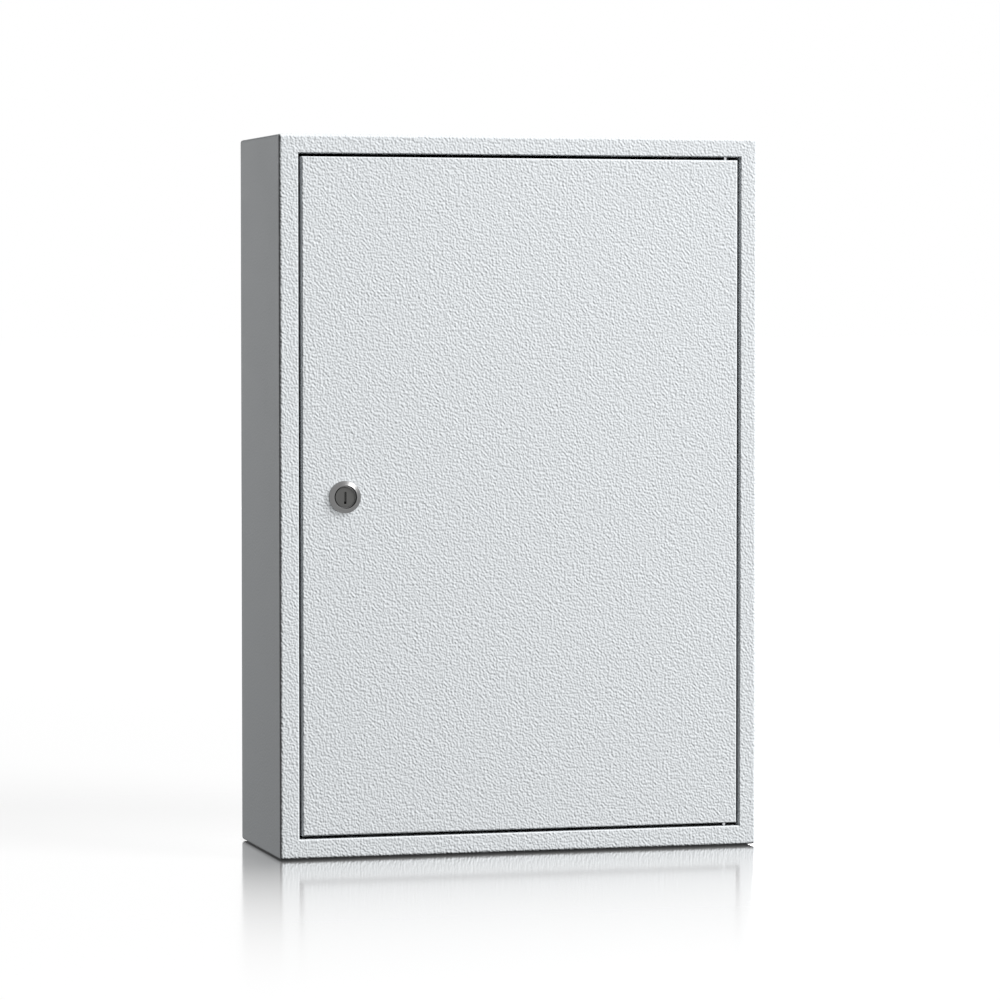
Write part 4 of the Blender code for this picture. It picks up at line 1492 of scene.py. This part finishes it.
    def _hook_ring(
        self, bm: bmesh.types.BMesh, centre: Vector, normal: Vector, half: float, extra: float
    ) -> list[bmesh.types.BMVert]:
        """Adds the rounded cross-section of a hook at one place along it.

        Args:
            bm: the mesh being built.
            centre: the section's middle.
            normal: the direction of the strip's thickness there.
            half: half of the strip's width there.
            extra: what is added to half of its thickness.

        Returns:
            The section's points.
        """
        thick = self.hook_thickness / 2 + extra
        corner = min(self.hook_corner, half * self.hook_corner_share)
        outline = rounded_rectangle(half, thick, corner, self.hook_corner_segments)
        return [bm.verts.new(centre + RIGHTWARD * x + normal * y) for x, y in outline]

    def hook_row(self, box: Box) -> bpy.types.Object:
        """Makes all the hooks of one bar.

        Args:
            box: the bar's box in the frame.

        Returns:
            One object with the hooks, in place.
        """
        first = box.middle.x - (self.hooks - 1) / 2 * self.hook_pitch
        start = Vector((first, self.face_depth(box), box.low.z + self.root_height))
        zinc = self.shop.finishes.zinc
        return self.shop.rows.make(self.hook_shape(), self.hooks, start, RIGHTWARD * self.hook_pitch, zinc)

    def numbers(self, row: int, box: Box) -> bpy.types.Mesh:
        """Makes the printed numbers of one bar's hooks, on its band.

        Args:
            row: the bar's number, from the top.
            box: its box in the frame.

        Returns:
            One mesh with the numbers, in place.
        """
        band = self.face_depth(box) + self.band_depth
        height = box.high.z - self.band_gap - self.band_height / 2
        first = box.middle.x - (self.hooks - 1) / 2 * self.hook_pitch
        bm = bmesh.new()
        for hook in range(self.hooks):
            curve = bpy.data.curves.new("number", "FONT")
            curve.body = str((row - 1) * self.hooks + hook + 1)
            curve.size = self.number_height
            curve.align_x = "CENTER"
            curve.align_y = "CENTER"
            curve.extrude = self.ink_height / 2
            curve.resolution_u = self.number_segments
            mesh = applied(link("number", curve))
            place = Vector((first + hook * self.hook_pitch, band - self.ink_height / 2, height))
            mesh.transform(Matrix.Translation(place) @ FACING_OUT)
            bm.from_mesh(mesh)
            bpy.data.meshes.remove(mesh)
            bpy.data.curves.remove(curve)
        return without_slivers(object_mesh(bm))

    def build(self) -> None:
        """Makes the bars with their hooks and numbers. All bars are copies of the first."""
        top = Box.of("hook_bar_01")
        bar = self.bar_sheet(top)
        combine(bar, self.hook_row(top), "UNION")
        pattern = smooth(applied(bar))
        finishes = self.shop.finishes
        for row in range(1, BAR_COUNT + 1):
            node = f"hook_bar_{row:02d}"
            box = Box.of(node)
            mesh = pattern.copy()
            mesh.transform(Matrix.Translation(box.low - top.low))
            add_piece(f"{node}_fine", mesh, finishes.zinc, Body.CABINET, (node,))
            add_piece(f"numbers_{row:02d}", self.numbers(row, box), finishes.ink, Body.CABINET)
        bpy.data.meshes.remove(pattern)


# Pivots and bumpers


@dataclass
class Pivots:
    """The headed pins in the door and the flanged bushes in the frame."""

    shop: Workshop
    case: CaseShell
    door: DoorPan
    pin_radius: float = 1.5 * MM
    head_radius: float = 3.6 * MM
    head_height: float = 1.6 * MM
    tip_chamfer: float = 0.5 * MM
    dome_width: float = 1.2 * MM
    dome_height: float = 0.8 * MM
    pin_softness: float = 0.4 * MM
    sheet: float = 1 * MM
    bore: float = 1.8 * MM
    neck: float = 2.4 * MM
    flange: float = 3.4 * MM
    flange_height: float = 1.2 * MM
    bush_softness: float = 0.15 * MM

    def pin(self, tip: float) -> bmesh.types.BMesh:
        """Makes a pin with a domed head inside the door.

        Args:
            tip: the height of its tip.

        Returns:
            The pin. Local Z runs to its tip, from the door's edge.
        """
        under = -self.sheet - SEAT
        end = under - self.head_height
        profile = (
            (0, tip),
            (self.pin_radius - self.tip_chamfer, tip),
            (self.pin_radius, tip - self.tip_chamfer),
            (self.pin_radius, under),
            (self.head_radius, under),
            (self.head_radius, end + self.dome_height),
            (self.head_radius - self.dome_width, end),
            (0, end),
        )
        return turned(rounded(profile, self.pin_softness, False), SMALL_TURNED_STEPS, False)

    def bush(self, end: float) -> bmesh.types.BMesh:
        """Makes a flanged bush.

        Args:
            end: the height of its end.

        Returns:
            The bush. Local Z runs into the frame, from the opening's edge.
        """
        seat = self.sheet + SEAT
        profile = (
            (self.bore, end),
            (self.neck, end),
            (self.neck, seat + self.flange_height),
            (self.flange, seat + self.flange_height),
            (self.flange, seat),
            (self.neck, seat),
            (self.neck, 0),
            (self.bore, 0),
        )
        return turned(rounded(profile, self.bush_softness, True), SMALL_TURNED_STEPS, True)

    def build(self) -> None:
        """Makes both pins and both bushes and puts them in the frame."""
        finishes = self.shop.finishes
        ends = (
            ("top", self.door.box.high.z, self.case.top, Matrix.Identity(4)),
            ("bottom", self.door.box.low.z, self.case.bottom, Matrix.Rotation(math.pi, 4, "X")),
        )
        for end, door_edge, opening_edge, turn in ends:
            pin_node, bush_node = f"pivot_pin_{end}", f"pivot_bush_{end}"
            pin_box, bush_box = Box.of(pin_node), Box.of(bush_node)
            axis = pin_box.middle
            tip = max(abs(z - door_edge) for z in (pin_box.low.z, pin_box.high.z))
            pin = self.pin(tip)
            pin.transform(Matrix.Translation((axis.x, axis.y, door_edge)) @ turn)
            mesh = smooth(object_mesh(pin))
            add_piece(f"{pin_node}_fine", mesh, finishes.zinc, Body.DOOR, (pin_node,))
            bush = self.bush(bush_box.high.z - bush_box.low.z)
            bush.transform(Matrix.Translation((axis.x, axis.y, opening_edge)) @ turn)
            mesh = smooth(object_mesh(bush))
            add_piece(f"{bush_node}_fine", mesh, finishes.nylon, Body.CABINET, (bush_node,))


@dataclass
class Bumpers:
    """The push-in rubber bumpers on the stop lip."""

    shop: Workshop
    case: CaseShell
    head: float = 3.5 * MM
    stem: float = 1.7 * MM
    bulb: float = 2.5 * MM
    bulb_length: float = 2 * MM
    head_chamfer: float = 0.6 * MM
    softness: float = 0.5 * MM

    def shape(self, face: float) -> bmesh.types.BMesh:
        """Makes one bumper.

        Args:
            face: the height of the face that the door closes on.

        Returns:
            The bumper. Local Z runs to the door, from the lip's front.
        """
        behind = -self.case.sheet - SEAT
        profile = (
            (0, face),
            (self.head - self.head_chamfer, face),
            (self.head, face - self.head_chamfer),
            (self.head, SEAT),
            (self.stem, SEAT),
            (self.stem, behind),
            (self.bulb, behind),
            (self.stem, behind - self.bulb_length),
            (0, behind - self.bulb_length),
        )
        return turned(rounded(profile, self.softness, False), SMALL_TURNED_STEPS, False)

    def build(self) -> None:
        """Makes both bumpers and puts them in the frame."""
        lip = self.case.box.low.y + self.case.frame_return
        for end in ("top", "bottom"):
            node = f"door_bumper_{end}"
            box = Box.of(node)
            shape = self.shape(lip - box.low.y)
            shape.transform(Matrix.Translation((box.middle.x, lip, box.middle.z)) @ FACING_OUT)
            mesh = smooth(object_mesh(shape))
            add_piece(f"{node}_fine", mesh, self.shop.finishes.rubber, Body.CABINET, (node,))


# Cam lock


@dataclass
class CamLock:
    """The cam lock. Its pieces are made about local Z, which runs to the front from the door's face."""

    shop: Workshop
    axis: Vector
    proud: float = 5 * MM
    collar: float = 12.3 * MM
    collar_side: float = 2.5 * MM
    rim: float = 9.3 * MM
    rim_bore: float = 8.8 * MM
    rim_recess: float = 2 * MM
    barrel: float = 9 * MM
    barrel_flats: float = 15.6 * MM
    barrel_end: float = -19.3 * MM
    barrel_chamfer: float = 0.6 * MM
    softness: float = 0.2 * MM  # of the corners of the housing and the washers
    thread_start: float = -1.2 * MM
    thread_end: float = -18.1 * MM
    thread_pitch: float = 1 * MM
    thread_depth: float = 0.45 * MM
    thread_rows: int = 8  # for each turn
    plug_bore: float = 6.3 * MM
    plug_radius: float = 6 * MM
    plug_face: float = 7.7 * MM
    plug_head: float = 2.1 * MM  # short enough that its seat stays in front of the barrel's flats
    plug_softness: float = 0.3 * MM
    plug_edge: float = 0.12 * MM
    tail_flats: float = 7 * MM
    tail_end: float = -21.6 * MM
    keyway_width: float = 1.8 * MM
    keyway_height: float = 9.1 * MM
    keyway_drop: float = 0.6 * MM
    keyway_depth: float = 14 * MM
    groove: float = 0.9 * MM
    shutter_drop: float = 2 * MM  # from the plug's face to the dust shutter in the keyway
    shutter_thickness: float = 0.5 * MM
    shutter_gap: float = 1.8 * MM  # below the shutter
    shutter_gap_share: float = 0.9  # of the keyway's width
    sheet: float = 1 * MM
    washer: float = 11 * MM
    washer_thickness: float = 0.8 * MM
    nut_flats: float = 22 * MM
    nut_thickness: float = 4 * MM
    nut_edge: float = 0.8 * MM
    nut_clearance: float = 0.125  # the part of the chamfer by which it stays clear of the corners
    nut_thread: float = 0.7  # the depth of its thread, as a share of the barrel's
    cam_front: float = -19.6 * MM
    cam_thickness: float = 2 * MM
    cam_hub: float = 8.5 * MM
    cam_tip: float = 6 * MM
    cam_reach: float = 38.8 * MM
    cam_segments: int = 24
    cam_edge: float = 0.25 * MM
    cam_washer: float = 5.5 * MM
    screw_bore: float = 2.3 * MM
    screw_head: float = 4 * MM
    screw_head_height: float = 2.6 * MM
    screw_dome: float = 0.45  # the dome's share of the head's height
    screw_dome_segments: int = 8
    screw_length: float = 6 * MM
    screw_chamfer: float = 0.4 * MM
    screw_slot: float = 1 * MM
    screw_slot_depth: float = 1.2 * MM
    screw_edge: float = 0.1 * MM

    @property
    def place(self) -> Matrix:
        """From local Z to the lock's axis."""
        return Matrix.Translation(self.axis) @ FACING_OUT

    def thread(self, radius: float, height: float, angle: float) -> float:
        """Cuts the thread into the barrel's side, as a warp for turned.

        Args:
            radius: the profile's radius at a point.
            height: its height.
            angle: its angle about the axis.

        Returns:
            The radius with the thread.
        """
        start, end = self.thread_start, self.thread_end
        if abs(radius - self.barrel) > MERGE or not end < height < start:
            return radius
        fade = min(start - height, height - end, self.thread_pitch) / self.thread_pitch
        turn = height / self.thread_pitch - angle / (2 * math.pi)
        groove = 0.5 - 0.5 * math.cos(2 * math.pi * turn)
        return radius - self.thread_depth * groove * fade

    def barrel_rows(self) -> list[Point]:
        """Places points down the barrel, close enough together for the thread.

        Returns:
            The points, as (radius, height).
        """
        start, end = self.thread_start, self.thread_end
        count = round((start - end) / self.thread_pitch * self.thread_rows)
        return [(self.barrel, start + (end - start) * row / count) for row in range(count + 1)]

    def housing(self) -> bpy.types.Mesh:
        """Makes the bevelled collar, the rim and the threaded barrel with its two flats.

        Returns:
            The housing's mesh, in place.
        """
        seat = self.proud - self.rim_recess - self.plug_head - SEAT
        head = (
            (self.rim_bore, self.proud),
            (self.rim, self.proud),
            (self.collar, SEAT + self.collar_side),
            (self.collar, SEAT),
            (self.barrel, SEAT),
        )
        tail = (
            (self.barrel, self.barrel_end + self.barrel_chamfer),
            (self.barrel - self.barrel_chamfer, self.barrel_end),
            (self.plug_bore, self.barrel_end),
            (self.plug_bore, seat),
            (self.rim_bore, seat),
        )
        profile = rounded(head + tail, self.softness, True)
        # The thread's rows go between the two ends of the barrel's straight side
        straight = [i for i, (radius, _) in enumerate(profile) if abs(radius - self.barrel) < MERGE]
        split = max(i for i in straight if profile[i][1] > self.thread_start) + 1
        profile = profile[:split] + self.barrel_rows() + profile[split:]
        housing = object_from("housing", turned(profile, TURNED_STEPS, True, self.thread))
        flats = bmesh.new()
        for side in (-1, 1):
            x = sorted((side * self.barrel_flats / 2, side * 2 * self.barrel))
            low = (x[0], -2 * self.barrel, self.barrel_end - OVERCUT)
            add_box(flats, low, (x[1], 2 * self.barrel, SEAT / 2))
        combine(housing, object_from("flats", flats), "DIFFERENCE")
        return self.finished(housing, 0)

    def finished(self, obj: bpy.types.Object, edge: float) -> bpy.types.Mesh:
        """Finishes a piece of the lock and puts it in place.

        Args:
            obj: the piece, which is used up.
            edge: the radius of its sharp edges, or 0 to keep them.

        Returns:
            The finished mesh.
        """
        if edge:
            rounded_edges(obj, edge)
        mesh = smooth(without_slivers(applied(obj)))
        mesh.transform(self.place)
        return mesh

    def plug(self) -> bpy.types.Mesh:
        """Makes the plug with its keyway, the dust shutter in it, its square tail and the screw's hole.

        Returns:
            The plug's mesh, in place.
        """
        face = self.proud - self.rim_recess
        profile = (
            (0, face),
            (self.plug_face, face),
            (self.plug_face, face - self.plug_head),
            (self.plug_radius, face - self.plug_head),
            (self.plug_radius, self.barrel_end),
            (0, self.barrel_end),
        )
        plug = object_from("plug", turned(rounded(profile, self.plug_softness, False), TURNED_STEPS, False))
        half = self.tail_flats / 2
        tail = box_object("tail", (-half, -half, self.tail_end), (half, half, self.barrel_end + OVERCUT))
        combine(plug, tail, "UNION")
        half = self.keyway_width / 2
        low = -self.keyway_drop - self.keyway_height / 2
        high = low + self.keyway_height
        floor = face - self.keyway_depth
        shutter = face - self.shutter_drop
        behind = shutter - self.shutter_thickness
        narrow = half * self.shutter_gap_share
        hollows = (
            ("keyway", (-half, low, shutter), (half, high, face + OVERCUT)),
            ("channel", (-half - self.groove, low, floor), (half, high, behind)),
            ("shutter_gap", (-narrow, low + SEAT / 2, floor), (narrow, low + self.shutter_gap, face)),
        )
        for name, lowest, highest in hollows:
            combine(plug, box_object(name, lowest, highest), "DIFFERENCE")
        hole = bmesh.new()
        place = Matrix.Translation((0, 0, self.tail_end))
        add_cylinder(hole, self.screw_bore, 2 * self.screw_length, SMALL_TURNED_STEPS, place)
        combine(plug, object_from("screw_hole", hole), "DIFFERENCE")
        return self.finished(plug, self.plug_edge)

    def ring(self, bore: float, outer: float, top: float, thickness: float) -> bpy.types.Mesh:
        """Makes a washer.

        Args:
            bore: the radius of its hole.
            outer: its radius.
            top: the height of its front face.
            thickness: its thickness.

        Returns:
            The washer's mesh, in place.
        """
        profile = ((bore, top), (outer, top), (outer, top - thickness), (bore, top - thickness))
        shape = turned(rounded(profile, self.softness, True), TURNED_STEPS, True)
        return self.finished(object_from("washer", shape), 0)

    def nut(self, top: float) -> bpy.types.Mesh:
        """Makes the hexagon nut with chamfered corners and a threaded bore.

        Args:
            top: the height of its front face.

        Returns:
            The nut's mesh, in place.
        """
        middle = top - self.nut_thickness / 2
        corner = self.nut_flats / 2 / math.cos(math.radians(30))
        hexagon = bmesh.new()
        add_cylinder(hexagon, corner, self.nut_thickness, 6, Matrix.Translation((0, 0, middle)))
        nut = object_from("nut", hexagon)
        half = self.nut_thickness / 2
        waist = corner + self.nut_edge * self.nut_clearance
        flanks = (
            (0, middle + half + OVERCUT),
            (waist - self.nut_edge - OVERCUT, middle + half + OVERCUT),
            (waist, middle + half - self.nut_edge),
            (waist, middle - half + self.nut_edge),
            (waist - self.nut_edge - OVERCUT, middle - half - OVERCUT),
            (0, middle - half - OVERCUT),
        )
        combine(nut, object_from("flanks", turned(flanks, TURNED_STEPS, False)), "INTERSECT")
        bore = self.barrel + SEAT
        reach = half + OVERCUT
        rows = round(2 * reach / self.thread_pitch * self.thread_rows)
        wall = [(bore, middle + reach - 2 * reach * row / rows) for row in range(rows + 1)]
        profile = [(0, middle + reach), *wall, (0, middle - reach)]

        def bore_thread(radius: float, height: float, angle: float) -> float:
            """Cuts the thread into the bore's wall, as a warp for turned.

            Args:
                radius: the profile's radius at a point.
                height: its height.
                angle: its angle about the axis.

            Returns:
                The radius with the thread.
            """
            if abs(radius - bore) > MERGE:
                return radius
            turn = height / self.thread_pitch - angle / (2 * math.pi)
            groove = 0.5 + 0.5 * math.cos(2 * math.pi * turn)
            return radius + self.thread_depth * groove * self.nut_thread

        combine(nut, object_from("bore", turned(profile, TURNED_STEPS, False, bore_thread)), "DIFFERENCE")
        return self.finished(nut, 0)

    def cam(self) -> bpy.types.Mesh:
        """Makes the tapered cam, hanging down, with its square hole.

        Returns:
            The cam's mesh, in place.
        """
        end = (0, self.cam_tip - self.cam_reach)
        outline = arc((0, 0), self.cam_hub, 0, math.pi, self.cam_segments)
        outline += arc(end, self.cam_tip, math.pi, 2 * math.pi, self.cam_segments)
        cam = object_from("cam", plate(outline, self.cam_thickness))
        half = self.tail_flats / 2 + SEAT
        hole = box_object("hole", (-half, -half, -OVERCUT), (half, half, OVERCUT))
        combine(cam, hole, "DIFFERENCE")
        cam.data.transform(Matrix.Translation((0, 0, self.cam_front - self.cam_thickness / 2)))
        return self.finished(cam, self.cam_edge)

    def screw(self, under: float) -> bpy.types.Mesh:
        """Makes the slotted pan-head screw that holds the cam.

        Args:
            under: the height of its head's underside.

        Returns:
            The screw's mesh, in place.
        """
        end = under - self.screw_head_height
        shank = self.screw_bore - SEAT
        steps = self.screw_dome_segments
        angles = [math.pi / 2 * step / steps for step in range(steps, -1, -1)]
        dome_height = self.screw_head_height * self.screw_dome
        dome = [(self.screw_head * math.sin(a), end + dome_height * (1 - math.cos(a))) for a in angles]
        profile = [
            (0, under + self.screw_length),
            (shank - self.screw_chamfer, under + self.screw_length),
            (shank, under + self.screw_length - self.screw_chamfer),
            (shank, under),
            (self.screw_head, under),
            *dome[:-1],
            (0, end),
        ]
        screw = object_from("screw", turned(profile, SMALL_TURNED_STEPS, False))
        half = self.screw_slot / 2
        reach = self.screw_head + OVERCUT
        floor = end + self.screw_slot_depth
        slot = box_object("slot", (-reach, -half, end - OVERCUT), (reach, half, floor))
        combine(screw, slot, "DIFFERENCE")
        return self.finished(screw, self.screw_edge)

    def build(self) -> None:
        """Makes the lock's pieces and puts them in the frame."""
        finishes = self.shop.finishes
        zinc = finishes.zinc
        washer_top = -self.sheet - SEAT
        nut_top = washer_top - self.washer_thickness - SEAT
        cam_back = self.cam_front - self.cam_thickness - SEAT
        screw_under = cam_back - self.washer_thickness - SEAT
        thin = self.washer_thickness
        housing = self.housing()
        washer = self.ring(self.barrel + SEAT, self.washer, washer_top, thin)
        nut = self.nut(nut_top)
        plug = self.plug()
        cam = self.cam()
        cam_washer = self.ring(self.screw_bore, self.cam_washer, cam_back, thin)
        pieces = (
            ("lock_housing", housing, finishes.nickel, Body.DOOR, Slot.NICKEL),
            ("lock_washer", washer, zinc, Body.DOOR, Slot.ZINC),
            ("lock_nut", nut, zinc, Body.DOOR, Slot.ZINC),
            ("lock_plug", plug, finishes.plug, Body.CYLINDER, Slot.PLUG),
            ("lock_cam", cam, zinc, Body.CYLINDER, Slot.ZINC),
            ("cam_washer", cam_washer, zinc, Body.CYLINDER, Slot.ZINC),
            ("cam_screw", self.screw(screw_under), zinc, Body.CYLINDER, Slot.ZINC),
        )
        for node, mesh, material, body, slot in pieces:
            add_piece(f"{node}_fine", mesh, material, body, (node,))


# Camera, lamps, floor and background


@dataclass(frozen=True)
class PhotoCamera:
    """The camera that the photograph was taken from, as fitted to its edges."""

    place: tuple[float, float, float] = (-0.91553, -3.33433, 0.41711)
    turn: float = math.radians(15.376)  # to the right of the cabinet's depth
    tilt: float = math.radians(2.459)  # down
    lens: float = 159.29
    sensor: float = 36.0
    farthest: float = 200.0

    def build(self) -> None:
        """Adds the camera and makes it the scene's."""
        data = bpy.data.cameras.new("photo_camera")
        data.lens = self.lens
        data.sensor_width = self.sensor
        data.clip_end = self.farthest
        camera = link("photo_camera", data)
        camera.location = self.place
        camera.rotation_euler = (math.pi / 2 - self.tilt, 0, -self.turn)
        bpy.context.scene.camera = camera


@dataclass(frozen=True)
class SoftLamp:
    """A round soft lamp that looks at the cabinet."""

    name: str
    towards: tuple[float, float, float]  # from the cabinet to the lamp
    level: float  # what it adds to a white surface that faces it
    width: float
    distance: float = 6.0
    aim: tuple[float, float, float] = (0, 0, 0.275)
    only: tuple[str, ...] = ()  # the pieces that it lights, where it lights some alone
    never: tuple[str, ...] = ()  # pieces that it doesn't light
    past: tuple[str, ...] = ()  # pieces that cast no shadow in its light

    def build(self) -> None:
        """Adds the lamp."""
        data = bpy.data.lights.new(self.name, "AREA")
        data.shape = "DISK"
        data.size = self.width
        data.energy = self.level * (math.pi * self.distance) ** 2
        lamp = link(self.name, data)
        direction = Vector(self.towards).normalized()
        lamp.location = Vector(self.aim) + direction * self.distance
        lamp.rotation_euler = direction.to_track_quat("Z", "Y").to_euler()
        lamp.visible_camera = False
        if self.only or self.never:
            lamp.light_linking.receiver_collection = self.chosen("lights")
        if self.past:
            lamp.light_linking.blocker_collection = self.chosen("passes")

    def chosen(self, purpose: str) -> bpy.types.Collection:
        """Pieces that the lamp's light or shadow is kept to or kept from.

        Args:
            purpose: "lights" for the pieces that it lights, or "passes" for those that cast no shadow.

        Returns:
            The collection for the lamp's light linking.
        """
        names = self.past if purpose == "passes" else self.only or self.never
        state = "INCLUDE" if purpose == "lights" and self.only else "EXCLUDE"
        pieces = bpy.data.collections.new(f"{self.name}_{purpose}")
        for name in names:
            pieces.objects.link(bpy.data.objects[name])
        for member in pieces.collection_objects:
            member.light_linking.link_state = state
        return pieces


KEY_DIRECTION = (0.6, -0.53, 0.6)
KEY_DISTANCE = 7.5
DOOR = ("door_pan_fine",)
HOUSING = ("lock_housing_fine",)
LAMPS = (
    # On the door the key light is parted in two, so that the lock's shadow there is soft and faint
    SoftLamp("key_lamp", KEY_DIRECTION, 2.38, 3.6, KEY_DISTANCE, never=DOOR),
    SoftLamp("door_key_lamp", KEY_DIRECTION, 1.52, 3.6, KEY_DISTANCE, only=DOOR, past=HOUSING),
    SoftLamp("door_wide_lamp", KEY_DIRECTION, 0.88, 5.0, KEY_DISTANCE, only=DOOR),
    SoftLamp("side_lamp", (-0.44, 0.89, 0.06), level=0.69, width=2.0),
    SoftLamp("back_lamp", (0.4, 0.9, 0.2), level=0.22, width=2.5),
)


def seen_directly(graph: Graph) -> bpy.types.NodeSocket:
    """Tells rays that show a surface from bounced light.

    Args:
        graph: the graph of a material or of the world.

    Returns:
        A socket that is 1 for rays from the camera, mirrors and glass, and 0 for the rest.
    """
    path = graph.add("ShaderNodeLightPath").outputs
    seen = graph.math("MAXIMUM", path["Is Camera Ray"], path["Is Glossy Ray"])
    return graph.math("MAXIMUM", seen, path["Is Transmission Ray"])


@dataclass(frozen=True)
class Studio:
    """The white floor with its short mirror image of the cabinet, and the white background."""

    floor_size: float = 60.0
    ambient: float = 0.075
    floor_drop: float = 0.7 * MM  # the case's base edges stand clear of the floor by this much
    painted_shadow_level: float = 0.25  # share of the floor's glow left under the cabinet's base, a painted shadow
    painted_shadow_reach: float = 12 * MM
    side_weight: float = 8.0  # the painted shadow reaches less far out at the cabinet's sides
    mirror: float = 0.88  # the mirror image's share at the cabinet
    mirror_reach: float = 0.85  # how far out it fades
    mirror_falloff: float = 3.0
    crisp: float = 0.1  # the mirror image's roughness at the cabinet
    blurred: float = 0.18  # and at the end of its reach
    own_light: float = 0.87  # the floor's own brightness at the cabinet
    far_light: float = 1.0  # and from the far reach on
    far_reach: float = 6.0
    lit_share: float = 0.08  # how much of the lamps' light the floor shows
    bounce_glow: float = 0.08  # a fixed glow that the floor sends to other surfaces in place of reflected light
    footprint: Box = field(default_factory=lambda: Box.of("case_shell"))

    def background(self) -> None:
        """A world that shows white and lights softly."""
        world = bpy.data.worlds.new("studio")
        world.use_nodes = True
        tree = world.node_tree
        tree.nodes.clear()
        graph = Graph(tree)
        soft = graph.add("ShaderNodeBackground", {"Color": WHITE, "Strength": self.ambient})
        white = graph.add("ShaderNodeBackground", {"Color": WHITE, "Strength": 1.0})
        seen = seen_directly(graph)
        mix = graph.add("ShaderNodeMixShader", {0: seen, 1: soft.outputs[0], 2: white.outputs[0]})
        graph.add("ShaderNodeOutputWorld", {"Surface": mix.outputs[0]})
        bpy.context.scene.world = world

    def distance(self, graph: Graph, side_weight: float = 1.0) -> bpy.types.NodeSocket:
        """How far a point of the floor is from the cabinet's base.

        Args:
            graph: the floor's graph.
            side_weight: how much more a distance to the left or right counts.

        Returns:
            The distance's socket.
        """
        low, high = self.footprint.low, self.footprint.high
        middle = self.footprint.middle
        half = (high - low) / 2
        place = graph.add("ShaderNodeTexCoord").outputs["Object"]
        local = graph.vector("SUBTRACT", place, (middle.x, middle.y, 0)).outputs[0]
        beyond = graph.vector("SUBTRACT", graph.vector("ABSOLUTE", local).outputs[0], (half.x, half.y, 1))
        outside = graph.vector("MAXIMUM", beyond.outputs[0], (0, 0, 0)).outputs[0]
        weighed = graph.vector("MULTIPLY", outside, (side_weight, 1, 1)).outputs[0]
        return graph.vector("LENGTH", weighed).outputs["Value"]

    @staticmethod
    def fade(
        graph: Graph, distance: bpy.types.NodeSocket, reach: float, near: float, far: float
    ) -> bpy.types.NodeSocket:
        """A value that changes evenly from the one near the cabinet's base to the one at a reach."""
        change = graph.add("ShaderNodeMapRange", {"Value": distance, 1: 0.0, 2: reach, 3: near, 4: far})
        return change.outputs[0]

    def floor_material(self) -> bpy.types.Material:
        """Makes a floor that is white to the camera, with a painted shadow round the cabinet's base, that
        gives off a faint fixed glow to bounced light, and that is polished by the cabinet.

        Returns:
            The floor's material.
        """
        material = bpy.data.materials.new("white_floor")
        material.use_nodes = True
        tree = material.node_tree
        tree.nodes.clear()
        graph = Graph(tree)
        distance = self.distance(graph)
        from_front = self.distance(graph, self.side_weight)
        # A painted shadow: the floor's glow is dimmed round the cabinet's base, less far out at its sides
        painted_shadow = self.fade(graph, from_front, self.painted_shadow_reach, self.painted_shadow_level, 1.0)
        spread = self.fade(graph, distance, self.far_reach, self.own_light, self.far_light)
        strength = graph.math("MULTIPLY", spread, painted_shadow)
        glow = graph.add("ShaderNodeEmission", {"Color": WHITE, "Strength": strength})
        lit = graph.add("ShaderNodeBsdfDiffuse", {"Color": (*(self.lit_share,) * 3, 1)})
        white = graph.add("ShaderNodeAddShader", {0: glow.outputs[0], 1: lit.outputs[0]})
        roughness = self.fade(graph, distance, self.mirror_reach, self.crisp, self.blurred)
        polish = graph.add("ShaderNodeBsdfGlossy", {"Color": WHITE, "Roughness": roughness})
        nearness = self.fade(graph, distance, self.mirror_reach, 1.0, 0.0)
        mirror = graph.math("MULTIPLY", graph.math("POWER", nearness, self.mirror_falloff), self.mirror)
        # The lock's metal sees a plain white floor, without a second mirror image of the lamps
        by_camera = graph.add("ShaderNodeLightPath").outputs["Is Camera Ray"]
        share = graph.math("MULTIPLY", mirror, by_camera)
        shown = graph.add("ShaderNodeMixShader", {0: share, 1: white.outputs[0], 2: polish.outputs[0]})
        # Bounced light gets a fixed glow in place of the floor's reflected light, dimmed by the same painted
        # shadow
        soft = graph.math("MULTIPLY", painted_shadow, self.bounce_glow)
        bounce_glow = graph.add("ShaderNodeEmission", {"Color": WHITE, "Strength": soft})
        surface = graph.add(
            "ShaderNodeMixShader",
            {0: seen_directly(graph), 1: bounce_glow.outputs[0], 2: shown.outputs[0]},
        )
        graph.add("ShaderNodeOutputMaterial", {"Surface": surface.outputs[0]})
        material.cycles.emission_sampling = "NONE"
        return material

    def build(self) -> None:
        """Adds the floor, the background and the lamps."""
        bm = bmesh.new()
        bmesh.ops.create_grid(bm, x_segments=1, y_segments=1, size=self.floor_size)
        bmesh.ops.translate(bm, verts=bm.verts[:], vec=(0, 0, -self.floor_drop))
        floor = object_from("floor", bm)
        floor.data.materials.append(self.floor_material())
        self.background()
        for lamp in LAMPS:
            lamp.build()


def main() -> None:
    """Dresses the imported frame, and sets up the light and the camera."""
    logging.basicConfig(level=logging.INFO, format="%(name)s %(message)s")
    bpy.context.scene.view_settings.view_transform = "Standard"
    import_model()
    case_box = Box.of("case_shell")
    housing = Box.of("lock_housing").middle
    lock_axis = Vector((housing.x, case_box.low.y, housing.z))
    shop = Workshop(Finishes(lock_axis), LineRow())
    PhotoCamera().build()
    case = CaseShell(shop)
    case.build()
    door = DoorPan(shop, lock_axis)
    door.build()
    Uprights(shop).build()
    HookBars(shop).build()
    Pivots(shop, case, door).build()
    Bumpers(shop, case).build()
    CamLock(shop, lock_axis).build()
    Studio().build()


if __name__ == "__main__":
    main()
